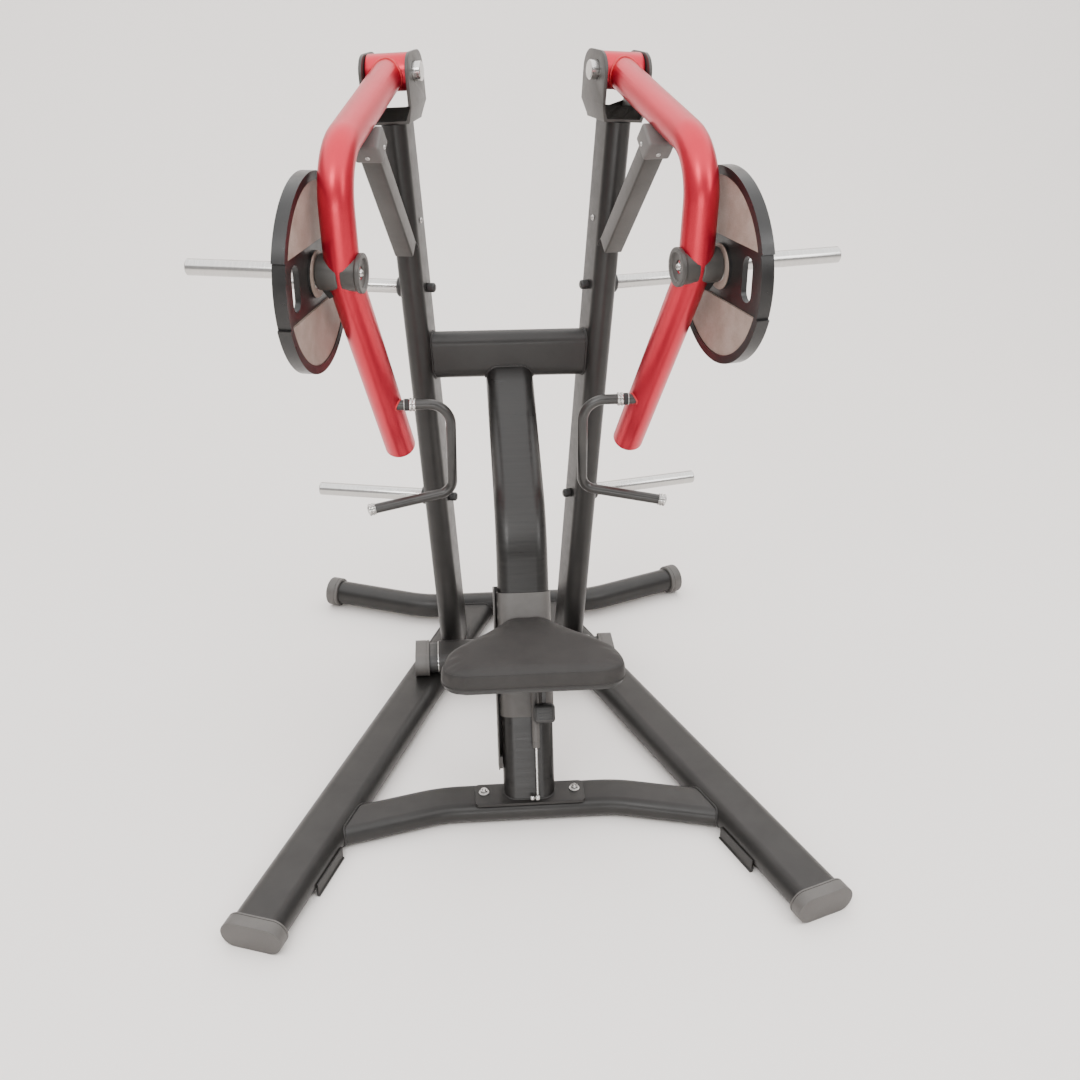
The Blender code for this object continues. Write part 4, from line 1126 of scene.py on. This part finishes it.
def add_stop(side, word, upright):
    """Square tube that leans out from the upright to meet the resting arm."""
    foot, top, across = stop_line(side)
    half = STOP_SIZE / 2
    edge = rounded_rectangle(half, half, STOP_CORNER_R, 4)
    bore = rounded_rectangle(half - STOP_WALL, half - STOP_WALL, 0.002, 4)
    arm = outline(f"fine_{word}_stop_arm", [edge, bore], (top - foot).length,
                  along((foot + top) / 2, top - foot, across))
    cut(arm, upright_solid(f"{word}_stop_cope", side, 2 * GAP))
    place(arm, "frame", "frame_paint", look="bracket_paint")
    section = along(foot + (top - foot) * 0.25, foot - top, across)
    weld(f"weld_{word}_stop_arm", edge, section, 0.12, upright)


def add_bumper(side, word):
    """Rubber block over the end of the stop arm, dished where the arm tube rests."""
    foot, top, across = stop_line(side)
    direction = (top - foot).normalized()
    centre = top + direction * (BUMPER_SIZE[2] / 2 - BUMPER_COVERS)
    bumper = block(f"fine_{word}_bumper", BUMPER_SIZE, along(centre, direction, across))
    round_edges(bumper, 0.0075, 5)
    core = block(f"{word}_bumper_core", (STOP_SIZE + 2 * GAP, STOP_SIZE + 2 * GAP, 0.1),
                 along(top + direction * (GAP - 0.05), direction, across))
    cut(bumper, core, bent_round(f"{word}_bumper_seat", arm_path(side), ARM_R + 0.0006))
    place(bumper, "frame", "grey_rubber")
    for i in range(4):
        face = spun(along(centre - direction * 0.008, direction, across), i * QUARTER, "Z")
        seat = spun(shifted(face, BUMPER_SIZE[0] / 2 - 0.0004, 0, 0), QUARTER, "Y")
        socket_screw(f"screw_{word}_bumper_{i}", seat, 0.0055, 0.0030, "frame")


def horn_profile(start, end):
    """Plain round horn with a bevelled end and a centre dimple."""
    r, bevel = HORN_R, 0.0025
    return [(0, end - 0.0015), (0.0035, end - 0.0015), (0.0050, end), (r - bevel, end),
            (r, end - bevel), (r, start), (0, start)]


def add_storage_horn(side, word, level):
    """Horn on the outside of the upright, with its collar and the stud behind it."""
    end = ("upper", "lower")[level]
    centre = toed(side, upright_at(STORE_Z[level]))
    frame = spun(centre, QUARTER * side, "Y")
    face = TUBE_H / 2 + 0.0022
    bar = turned(f"fine_{word}_storage_horn_{end}", horn_profile(face + 0.008, STORE_REACH), frame,
                 56, 0.0006)
    place(bar, "frame", "chrome")
    bore, c = HORN_R + 0.0003, STORE_COLLAR_R
    collar = turned(f"collar_{word}_storage_{end}", [
        (bore, face + 0.0125), (HORN_R + 0.0045, face + 0.0125), (c, face + 0.0085), (c, face),
        (bore, face)], frame, 64, 0.0015)
    place(collar, "frame", "black_plastic")
    stud = turned(f"stud_{word}_storage_{end}", [
        (0, 0.022), (0.0068, 0.022), (0.0115, 0.019), (0.0125, 0.016), (0.0125, 0.0), (0, 0)],
        shifted(spun(centre, -QUARTER * side, "Y"), 0, 0, TUBE_H / 2), 48, 0.0015)
    place(stud, "frame", "black_plastic")


# ----------------------------------------------------------------------- arms

def arm_path(side):
    points = [side_point(side, p) for p in (PIVOT, ARM_KNEE, ARM_TEE, ARM_END)]
    knee = fillet(points[:3], ARM_KNEE_R, 30)
    bend = fillet([knee[-2], points[2], points[3]], ARM_TEE_BEND_R, 12)
    return knee[:-2] + bend


def add_arm(side, word):
    body = f"{word}_arm"
    path = arm_path(side)
    tube = bent_round(f"fine_{word}_arm_tube", path, ARM_R, ARM_WALL, 14)
    hinge = spun(pivot_frame(side), QUARTER, "Y")
    cut(tube, rod(f"{word}_arm_cope", HUB_R + GAP, 0.2, hinge, 96))
    place(tube, body, "red_paint")

    r, b, h = HUB_R, HUB_BORE_R, HUB_HALF
    hub = turned(f"fine_{word}_pivot_hub", [(b, h), (r, h), (r, -h), (b, -h)], hinge, 96,
                 0.0030)
    place(hub, body, "red_paint")
    thick, bore = 0.0012, PIN_R + 0.0003
    for end, z in (("inner", h + 0.0001), ("outer", -(h + 0.0001) - thick)):
        liner = turned(f"bearing_{word}_{end}", [(bore, thick), (0.033, thick), (0.034, 0.0),
                                                 (bore, 0.0)], shifted(hinge, 0, 0, z))
        place(liner, body, "chrome")

    outward = path[1] - path[0]
    back = along(path[0] + outward.normalized() * 0.12, -outward, (1, 0, 0))
    weld(f"weld_{word}_hub", circle_points(ARM_R), back, 0.11, hub, WIDE_WELD_R, body)

    down = (path[-1] - path[-2]).normalized()
    crown, rim = 0.016, 0.003
    dome = [(ARM_R * math.cos(a), crown * math.sin(a) + rim) for a in
            [QUARTER * i / 12 for i in range(11, -1, -1)]]
    end = turned(f"fine_{word}_arm_end", [(0.0, crown + rim)] + dome
                 + [(ARM_R, 0.0005), (ARM_R - 0.0012, 0), (0, 0)],
                 along(path[-1] + down * GAP, down, (1, 0, 0)))
    place(end, body, "red_paint")
    return tube


def add_tee(side, word):
    """Bosses welded to both sides of the arm, the outer one carrying the weight horn."""
    body = f"{word}_arm"
    centre = toed(side, ARM_TEE)
    frame = spun(centre, QUARTER * side, "Y")
    r, f, slit, e, floor = TEE_R, TEE_FLANGE_R, TEE_SLIT, TEE_INNER, 0.0100 - TEE_INNER
    profile = [(0, -slit), (r, -slit), (r, 0.012 - e), (f, 0.009 - e), (f, -e), (0.033, -e),
               (0.0300, 0.0045 - e), (0.0145, 0.0060 - e), (0.0145, floor), (0, floor)]
    inner = turned(f"fine_{word}_tee_inner", profile, frame, 80, 0.0016)
    outer = turned(f"fine_{word}_tee_outer", [(0, TEE_OUTER), (r, TEE_OUTER), (r, slit), (0, slit)],
                   frame, 80, 0.0040)
    for boss, end in ((inner, "inner"), (outer, "outer")):
        cut(boss, bent_round(f"{word}_tee_{end}_cope", arm_path(side), ARM_R + GAP))
        place(boss, body, "frame_paint", look="bracket_paint")
    facing = spun(shifted(frame, 0, 0, floor), math.pi, "X")
    washer(f"washer_{word}_tee", facing, 0.0125, 0.0045, 0.0016, body)
    socket_screw(f"screw_{word}_tee", shifted(facing, 0, 0, 0.0016), 0.0095, 0.0062, body, "chrome")
    below = shifted(centre @ Matrix.Scale(side, 4, (1, 0, 0)), 0.020, 0, -r + 0.001)
    lug = outline(f"lug_{word}_tee", [[(0.0, 0.0), (0.030, 0.0), (0.014, 0.020), (0.004, 0.016)]],
                  0.006, spun(below, -QUARTER, "X"))
    place(lug, body, "frame_paint")
    horn = turned(f"fine_{word}_weight_horn", horn_profile(TEE_OUTER + GAP, HORN_END), frame,
                  soft=0.0006)
    place(horn, body, "chrome")


def disc_loop():
    """Outer edge of the weight plate, waisted across the grip band."""
    waist = math.asin(DISC_BAND_HALF / DISC_R)
    half = math.pi
    spans = ((waist, half - waist, DISC_R, 44), (half - waist, half + waist, DISC_WAIST_R, 14),
             (half + waist, 2 * half - waist, DISC_R, 44), (-waist, waist, DISC_WAIST_R, 14))
    loop = []
    for start, stop, radius, count in spans:
        for i in range(count + 1):
            angle = start + (stop - start) * i / count
            loop.append((radius * math.cos(angle), radius * math.sin(angle)))
    return loop


def paint_disc(disc):
    """Dark rim, band and edges; taupe panels and hub ring."""
    for name in ("plate_face", "plate_rim"):
        disc.data.materials.append(MATERIALS[name])
    for face in disc.data.polygons:
        x, y, z = face.center
        radius = math.hypot(x, y)
        rim = radius > DISC_RIM_R - 0.0006
        ring = radius < DISC_RING_R + 0.0008
        floor = abs(y) < DISC_BAND_HALF - 0.0004 and abs(z) < DISC_PANEL_THICK / 2 - 0.0006
        grip = floor or (not ring and abs(z) < DISC_BAND_THICK / 2 + 0.0004)
        face.material_index = 1 if rim or (grip and not ring) else 0


def add_disc(side, word):
    """Weight plate: waisted rim, raised panels above and below, recessed grip band."""
    body = f"{word}_weight"
    drop = DISC_BORE_R - HORN_R - GAP
    frame = on_edge(shifted(toed(side, ARM_TEE), side * (DISC_NEAR + DISC_THICK / 2), 0, -drop))
    disc = outline(f"fine_{word}_plate", [disc_loop(), circle_points(DISC_BORE_R, 48)], DISC_THICK,
                   frame)
    panel = circle_points(DISC_RIM_R, 120)
    reach = DISC_RIM_R - 0.004
    band_cut = math.asin(DISC_BAND_HALF / reach)
    band = []
    for start in (-band_cut, math.pi - band_cut):
        for i in range(19):
            angle = start + 2 * band_cut * i / 18
            band.append((reach * math.cos(angle), reach * math.sin(angle)))
    deep = 0.02
    tools = []
    for end, sign in (("near", -1), ("far", 1)):
        tools.append(outline(f"{word}_{end}_panel", [panel, circle_points(DISC_RING_R, 60)], deep,
                             shifted(frame, 0, 0, sign * (DISC_PANEL_THICK / 2 + deep / 2))))
        tools.append(outline(f"{word}_{end}_band", [band, circle_points(DISC_RING_R + 0.001, 60)],
                             deep, shifted(frame, 0, 0, sign * (DISC_BAND_THICK / 2 + deep / 2))))
    for end, sign in (("back", -1), ("front", 1)):
        tools.append(outline(f"{word}_{end}_grip", [oval_points(*DISC_GRIP_SIZE, 16)], 0.1,
                             spun(shifted(frame, sign * DISC_GRIP_X, 0, 0), QUARTER, "Z")))
    cut(disc, *tools)
    round_edges(disc, 0.0014, 2, 50.0)
    paint_disc(disc)
    place(disc, body, "plate_paint")
    bore, thick = DISC_BORE_R + 0.0006, 0.0012
    for name, sign, turn in (("0", -1, math.pi), ("2", 1, 0.0)):
        insert = turned(f"hub_{word}_plate_{name}", [(bore, thick), (0.0335, thick), (0.0350, 0.0),
                                                     (bore, 0.0)],
                        spun(shifted(frame, 0, 0, sign * DISC_THICK / 2), turn, "X"))
        place(insert, body, "plate_paint", look="dull_zinc")


def handle_path(side):
    top = (HANDLE_GRIP_X, HANDLE_Y, HANDLE_TOP_Z)
    root = (HANDLE_ROOT_X, HANDLE_Y, HANDLE_TOP_Z)
    points = [side_point(side, p) for p in (root, top, HANDLE_LOW, HANDLE_TIP)]
    upper = fillet(points[:3], HANDLE_TOP_BEND_R, 18)
    lower = fillet(points[1:], HANDLE_LOW_BEND_R, 16)
    return upper[:-1] + lower[1:]


def level_frame(side, x):
    """Frame on the level top run of the handle, facing outwards."""
    return along(side_point(side, (x, HANDLE_Y, HANDLE_TOP_Z)), (side, 0, 0), (0, 0, 1))


def add_handle(side, word, tube):
    """Bent grip bar welded to the lower arm, with a beaded collar and a ribbed tip."""
    body = f"{word}_arm"
    path = handle_path(side)
    handle = bent_round(f"fine_{word}_handle", path, HANDLE_R, 0.0, 10)
    cut(handle, bent_round(f"{word}_handle_cope", arm_path(side), ARM_R + GAP))
    place(handle, body, "grip_paint")
    start = level_frame(side, HANDLE_GRIP_X + 0.08)
    weld(f"weld_{word}_handle", circle_points(HANDLE_R + 0.0004), start, 0.06, tube,
         HANDLE_WELD_R, body)

    frame = level_frame(side, HANDLE_RING_X)
    r, b, w = HANDLE_RING_R, HANDLE_R + 0.0005, 0.0080
    ring = turned(f"fine_{word}_handle_collar", [
        (b, w), (r - 0.0018, w), (r, w - 0.0018), (r, 0.0022), (r - 0.0022, 0.0), (r, -0.0022),
        (r, 0.0018 - w), (r - 0.0018, -w), (b, -w)], frame, 56, 0.0008)
    place(ring, body, "chrome")
    ring = turned(f"spacer_{word}_handle", [(b, 0.0105), (r - 0.0022, 0.0105), (r - 0.0016, 0.0098),
                                            (r - 0.0016, 0.0006), (r - 0.0022, 0), (b, 0)],
                  shifted(frame, 0, 0, w + 0.0002), 48)
    place(ring, body, "grip_paint", look="black_rubber")
    washer(f"washer_{word}_handle", shifted(frame, 0, 0, w + 0.0110), r - 0.0010, b, 0.0018, body)

    out = (path[-1] - path[-2]).normalized()
    r, h = HANDLE_TIP_R, HANDLE_TIP_LENGTH
    profile = [(0, h), (r * 0.50, h), (r * 0.56, h - 0.0015), (r - 0.0035, h - 0.0015),
               (r, h - 0.0045), (r, 0.0125), (r - 0.0022, 0.0110), (r - 0.0022, 0.0095),
               (r, 0.0080), (r, 0.0055), (r - 0.0022, 0.0040), (r - 0.0022, 0.0025), (r, 0.0010),
               (r, 0.0003), (r - 0.0006, 0), (0, 0)]
    tip = turned(f"fine_{word}_handle_tip", profile,
                 along(path[-1] + out * GAP, out, (0, 0, 1)), 56)
    place(tip, body, "chrome")


# -------------------------------------------------------------- seat carriage

def add_sleeve():
    """Moulded sleeve round the column, with two screws at the back."""
    width, height = TUBE_W + 2 * SLEEVE_CLEARANCE, TUBE_H + 2 * SLEEVE_CLEARANCE
    loops = [oval_points(width + 2 * SLEEVE_WALL, height + 2 * SLEEVE_WALL),
             oval_points(width, height)]
    sleeve = outline("fine_seat_sleeve", loops, SLEEVE_LENGTH,
                     column_frame(SLEEVE_START + SLEEVE_LENGTH / 2))
    round_edges(sleeve, 0.0010, 3, 50.0)
    place(sleeve, "seat_carriage", "grey_plastic")
    back = column_frame(SLEEVE_START + SLEEVE_LENGTH - 0.05)
    for side, word in SIDES:
        seat = spun(shifted(back, side * 0.030, height / 2 + SLEEVE_WALL, 0), -QUARTER, "X")
        socket_screw(f"screw_sleeve_{word}", seat, 0.006, 0.0035, "seat_carriage")


def sleeve_cope(name):
    """Cutter a little larger than the outside of the sleeve."""
    grow = 2 * (SLEEVE_CLEARANCE + SLEEVE_WALL + GAP)
    return outline(name, [oval_points(TUBE_W + grow, TUBE_H + grow)], 0.8, column_frame(0.3))


def add_seat_bracket():
    """Plate under the pad with a web that runs back down to the sleeve."""
    top_z = SEAT_TOP_Z - SEAT_THICK - GAP
    thick = 0.008
    pan = [(-0.030, -0.236), (0.030, -0.236), (0.105, -0.335), (0.120, -0.420), (-0.120, -0.420),
           (-0.105, -0.335)]
    plate = outline("fine_seat_bracket", [pan], thick, Matrix.Translation((0, 0, top_z - thick / 2)))
    web = [(-0.210, top_z - 0.004), (-0.400, top_z - 0.004), (-0.385, top_z - 0.028),
           (-0.285, top_z - 0.095), (-0.220, top_z - 0.110)]
    rib = outline("seat_bracket_rib", [web], 0.064, on_edge(Matrix.Identity(4)))
    cut(plate, rib, operation="UNION")
    bore = rod("seat_bracket_bore", SPRING_R + 0.0012, 0.6,
               shifted(column_frame(0.2), SPRING_X, -SPRING_OFFSET, 0))
    cut(plate, sleeve_cope("seat_bracket_cope"), bore)
    round_edges(plate, 0.0012, 2, 50.0)
    place(plate, "seat_carriage", "frame_paint")


def seat_half_width(y):
    """Half width of the seat at a depth, through its rows on a smooth curve."""
    rows = SEAT_ROWS
    if y >= rows[0][0]:
        return rows[0][1]
    for i in range(len(rows) - 1):
        (a, wa), (b, wb) = rows[i], rows[i + 1]
        if a >= y >= b:
            before = rows[max(i - 1, 0)][1]
            after = rows[min(i + 2, len(rows) - 1)][1]
            t = (a - y) / (a - b)
            return 0.5 * (2 * wa + (wb - before) * t + (2 * before - 5 * wa + 4 * wb - after) * t ** 2
                          + (3 * wa - before - 3 * wb + after) * t ** 3)
    return rows[-1][1]


def corner_loss(distance, radius):
    """Width that a round corner takes off an edge, at a distance from its end."""
    if distance >= radius:
        return 0.0
    return radius * (1 - math.sqrt(max(0.0, 1 - (1 - distance / radius) ** 2)))


def seat_outline(inset, count=26):
    """Plan of the seat, right round, with rounded front and rear corners."""
    rear, front = SEAT_ROWS[0][0] - 0.004 - inset, SEAT_ROWS[-1][0] + 0.002 + inset
    right = []
    for i in range(count + 1):
        y = rear + (front - rear) * i / count
        from_front, from_rear = y - front, rear - y
        half = seat_half_width(y) - inset
        half -= SEAT_FRONT_SHARE * corner_loss(from_front, SEAT_FRONT_CORNER)
        half -= corner_loss(from_rear, SEAT_REAR_CORNER)
        right.append((half, y))
    left = [(-x, y) for x, y in reversed(right)]
    return [(SEAT_X + x, y) for x, y in right + left]


def cushion_mesh(name, top, bottom):
    """Closed starting form of the cushion: its plan, lofted and rounded at both edges."""
    layers = [(bottom, 0.006), (bottom + 0.006, 0.001), ((top + bottom) / 2, 0.0),
              (top - 0.013, 0.001), (top - 0.004, 0.0045), (top, 0.015)]
    shape = bmesh.new()
    rings = [[shape.verts.new((x, y, z)) for x, y in seat_outline(inset)] for z, inset in layers]
    count = len(rings[0])
    for a, b in zip(rings, rings[1:]):
        for i in range(count):
            j = (i + 1) % count
            shape.faces.new((a[i], a[j], b[j], b[i]))
    for ring, way in ((rings[0], 1), (rings[-1], -1)):
        for i in range(count // 2 - 1):
            quad = (ring[i], ring[i + 1], ring[count - 2 - i], ring[count - 1 - i])
            shape.faces.new(quad[::way])
    bmesh.ops.recalc_face_normals(shape, faces=shape.faces)
    return link_shape(name, shape, Matrix.Identity(4))


def inflate(pad, floor_z):
    """Cloth simulation: the cover swells over its foam, held along the board below."""
    remesh = pad.modifiers.new("voxels", "REMESH")
    remesh.mode = "VOXEL"
    remesh.voxel_size = CLOTH_VOXEL
    bake(pad)
    rest = [v.co.copy() for v in pad.data.vertices]
    held = pad.vertex_groups.new(name="held")
    for vertex in pad.data.vertices:
        if vertex.co.z < floor_z + 0.007:
            held.add([vertex.index], 1.0, "REPLACE")
    cloth = pad.modifiers.new("cover", "CLOTH")
    settings = cloth.settings
    settings.use_pressure = True
    settings.uniform_pressure_force = CLOTH_PRESSURE
    settings.vertex_group_mass = "held"
    settings.effector_weights.gravity = 0.0
    settings.quality = 5
    cloth.point_cache.frame_start = 1
    cloth.point_cache.frame_end = CLOTH_FRAMES
    for step in range(1, CLOTH_FRAMES + 1):
        bpy.context.scene.frame_set(step)
    bake(pad)
    bpy.context.scene.frame_set(1)
    for vertex, start in zip(pad.data.vertices, rest):
        move = vertex.co - start
        if move.length > CLOTH_CAP:
            vertex.co = start + move.normalized() * CLOTH_CAP
    relax = pad.modifiers.new("relax", "SMOOTH")
    relax.factor = 0.5
    relax.iterations = COVER_SMOOTHING
    bake(pad)


def seam(name, pad, height, radius):
    """Piping round the cushion at one height, laid on its surface."""
    tree = tree_of(pad)
    middle = Vector((SEAT_X, (SEAT_ROWS[0][0] + SEAT_ROWS[-1][0]) / 2 - 0.05, height))
    path = []
    for x, y in circle_points(1.0, 220):
        heading = Vector((x, y, 0.0))
        hit = tree.ray_cast(middle + heading * 0.6, -heading, 0.6)[0]
        if hit:
            path.append(hit + heading * radius * 0.1)
    path = evenly_spaced(path, 0.004)
    piping = bent_round(name, path, radius, 0.0, 4, [1.0] * len(path))
    place(piping, "seat_carriage", "seat_leather", angle=70.0)


def add_seat_pad():
    """Upholstered saddle cushion on a black board, with piping round its lower edge."""
    top, bottom = SEAT_TOP_Z, SEAT_TOP_Z - SEAT_THICK
    board = outline("board_seat", [seat_outline(0.007, 40)], SEAT_BOARD_THICK,
                    Matrix.Translation((0, 0, bottom + SEAT_BOARD_THICK / 2)))
    cut(board, sleeve_cope("board_cope"))
    round_edges(board, 0.002, 2, 50.0)
    place(board, "seat_carriage", "black_plastic")
    base = bottom + SEAT_BOARD_THICK
    pad = cushion_mesh("cushion_seat", top - 0.0035, base)
    inflate(pad, base)
    fine = pad.modifiers.new("fine", "SUBSURF")
    fine.levels = 1
    fine.render_levels = fine.levels
    bake(pad)
    cut(pad, sleeve_cope("cushion_cope"))
    place(pad, "seat_carriage", "seat_leather", angle=70.0, node="seat_pad")
    seam("piping_seat_low", pad, base + 0.006, 0.0022)
    seam("piping_seat_high", pad, top - 0.011, 0.0010)


def add_gas_spring():
    """Cylinder carried by the seat, on a rod that stands on the base plate."""
    foot = shifted(column_frame(0.0), SPRING_X, -SPRING_OFFSET, 0)
    drop = foot.translation.z - column_top() - GAP
    start = 0.006 - drop / math.cos(COLUMN_LEAN)
    low, high = SPRING_SPAN
    r, b = SPRING_R, SPRING_ROD_R + 0.0005
    profile = [(0, high), (r, high), (r, low + 0.016), (r - 0.0008, low + 0.0150),
               (r - 0.0008, low + 0.0130), (r, low + 0.012), (r, low), (b, low), (b, high - 0.010),
               (0, high - 0.010)]
    cylinder = turned("fine_gas_spring_cylinder", profile, foot, 56, 0.0012)
    place(cylinder, "seat_carriage", "grey_plastic")
    s, knob = SPRING_ROD_R, 0.007
    ball = [(knob * math.cos(a), start + knob + knob * math.sin(a)) for a in
            [QUARTER * i / 6 for i in range(5, -7, -1)]]
    bar = turned("fine_gas_spring_rod", [(0, SPRING_ROD_TOP), (s, SPRING_ROD_TOP),
                                         (s, start + 2.3 * knob)] + ball + [(0, start)], foot, 40)
    place(bar, "frame", "chrome")
    r = 0.0062
    eye = [(r * math.cos(a), r * math.sin(a)) for a in
           [QUARTER * i / 6 for i in range(5, -6, -1)]]
    hook = turned("hook_gas_spring", [(0, r)] + eye + [(0, -r)],
                  shifted(foot, -0.0135, 0, start + knob), 40)
    place(hook, "frame", "chrome")


def add_height_rail():
    """Strip beside the column, with a row of latch holes down its length."""
    frame = column_frame(0.0)
    thick, front, back, flange = 0.0030, -0.019, 0.0430, 0.026
    angle = [(0.0, front), (0.0, back), (flange, back), (flange, back - thick),
             (thick, back - thick), (thick, front)]
    rail = outline("fine_height_rail", [angle], RAIL_LENGTH,
                   shifted(frame, RAIL_X - 0.0042, 0.0, RAIL_START + RAIL_LENGTH / 2))
    spacer = block("height_rail_spacer", (0.008, 0.022, 0.030),
                   shifted(frame, RAIL_X + 0.0018, -0.006, 0.078))
    cut(rail, spacer, operation="UNION")
    holes = [rod(f"rail_hole_{i}", 0.0050, 0.03,
                 spun(shifted(frame, RAIL_X - 0.0025, -0.006, 0.115 + RAIL_HOLE_PITCH * i),
                      QUARTER, "Y"), 32) for i in range(RAIL_HOLES)]
    tube = outline("height_rail_cope", [oval_points(TUBE_W + 2 * GAP, TUBE_H + 2 * GAP)], 0.6,
                   shifted(frame, 0, 0, 0.3))
    cut(rail, tube, *holes)
    round_edges(rail, 0.0007, 2, 50.0)
    place(rail, "frame", "frame_paint", look="bracket_paint")


def add_lever():
    """Release lever with a moulded knob, hinged across the front of the sleeve."""
    frame = shifted(column_frame(LEVER_HEIGHT), LEVER_X, -LEVER_OFFSET, 0.0)
    low = -LEVER_LENGTH
    bar = [(-0.008, 0.006), (-0.006, low), (0.004, low), (0.008, 0.006), (0.004, 0.010),
           (-0.004, 0.010)]
    lever = outline("fine_release_lever", [bar], 0.010, on_edge(frame))
    round_edges(lever, 0.0014, 3, 30.0)
    place(lever, "seat_release", "grey_plastic", look="black_plastic")
    knob = block("fine_release_knob", (0.053, 0.030, 0.048),
                 shifted(frame, 0.0, -0.002, low - GAP - 0.024))
    round_edges(knob, 0.0105, 6)
    grooves = [block(f"knob_groove_{i}", (0.036, 0.004, 0.0016),
                     shifted(frame, 0.0, -0.0178, low - GAP - 0.013 - 0.0075 * i))
               for i in range(4)]
    cut(knob, *grooves)
    place(knob, "seat_release", "black_plastic", angle=30.0)


# --------------------------------------------------------------------- studio

def add_studio():
    """Pale paper sweep: floor, a large curve and a back wall in one sheet."""
    near, far, bend, high, half = -7.0, 5.5, 3.0, 8.0, 11.0
    profile = [(near, 0.0), (far - bend, 0.0)]
    for i in range(1, 33):
        a = QUARTER * i / 32
        profile.append((far - bend + bend * math.sin(a), bend - bend * math.cos(a)))
    profile.append((far, high))
    shape = bmesh.new()
    rows = [(shape.verts.new((-half, y, z)), shape.verts.new((half, y, z))) for y, z in profile]
    for (a, b), (c, d) in zip(rows, rows[1:]):
        shape.faces.new((a, b, d, c))
    sweep = link_shape("studio_sweep", shape, Matrix.Translation((0, 0, -0.0005)))
    sweep.data.materials.append(MATERIALS["studio_paper"])
    sweep.data.shade_smooth()


def add_light(name, origin, target, size, power):
    data = bpy.data.lights.new(name, "AREA")
    data.shape = "RECTANGLE"
    data.size, data.size_y = size
    data.energy = power
    link(name, data, along(origin, Vector(origin) - Vector(target), (1, 0, 0)))


def add_lights():
    world = bpy.data.worlds.new("studio_air")
    world.use_nodes = True
    air = world.node_tree.nodes["Background"]
    air.inputs["Color"].default_value = (1.0, 0.985, 0.970, 1.0)
    air.inputs["Strength"].default_value = 0.62
    bpy.context.scene.world = world
    add_light("ceiling", (0.0, 0.6, 5.2), (0.0, 0.6, 0.0), (13.0, 12.0), 1150.0)
    add_light("key", (-1.3, -2.9, 3.6), (0.0, 0.1, 0.9), (1.3, 1.1), 48.0)
    add_light("fill", (2.6, -2.2, 2.8), (0.0, 0.2, 0.9), (1.1, 1.4), 26.0)
    add_light("front", (-0.5, -4.6, 1.1), (0.0, 0.0, 0.6), (2.6, 0.9), 55.0)


def add_camera():
    data = bpy.data.cameras.new("camera")
    data.lens = CAMERA_LENS
    data.sensor_width = 36.0
    camera = link("camera", data, Matrix.Identity(4))
    camera.location = CAMERA_PLACE
    camera.rotation_euler = CAMERA_TURN
    bpy.context.scene.camera = camera


# ----------------------------------------------------------------------- main

def build():
    add_materials()
    add_camera()
    add_studio()
    add_lights()
    legs = {side: add_leg(side, word) for side, word in SIDES}
    add_front_tube(legs)
    add_rear_tube()
    add_foot_cross_tube()
    plate = add_base_plate()
    uprights = {side: add_upright(side, word, legs[side]) for side, word in SIDES}
    beam = add_cross_beam(uprights)
    add_column(plate, beam)
    for side, word in SIDES:
        add_floor_bracket(side, word)
        add_clevis(side, word)
        add_pin(side, word)
        add_stop(side, word, uprights[side])
        add_bumper(side, word)
        add_storage_horn(side, word, 0)
        add_storage_horn(side, word, 1)
        tube = add_arm(side, word)
        add_tee(side, word)
        add_handle(side, word, tube)
        add_disc(side, word)
    add_sleeve()
    add_seat_bracket()
    add_seat_pad()
    add_gas_spring()
    add_height_rail()
    add_lever()
    settle()


build()
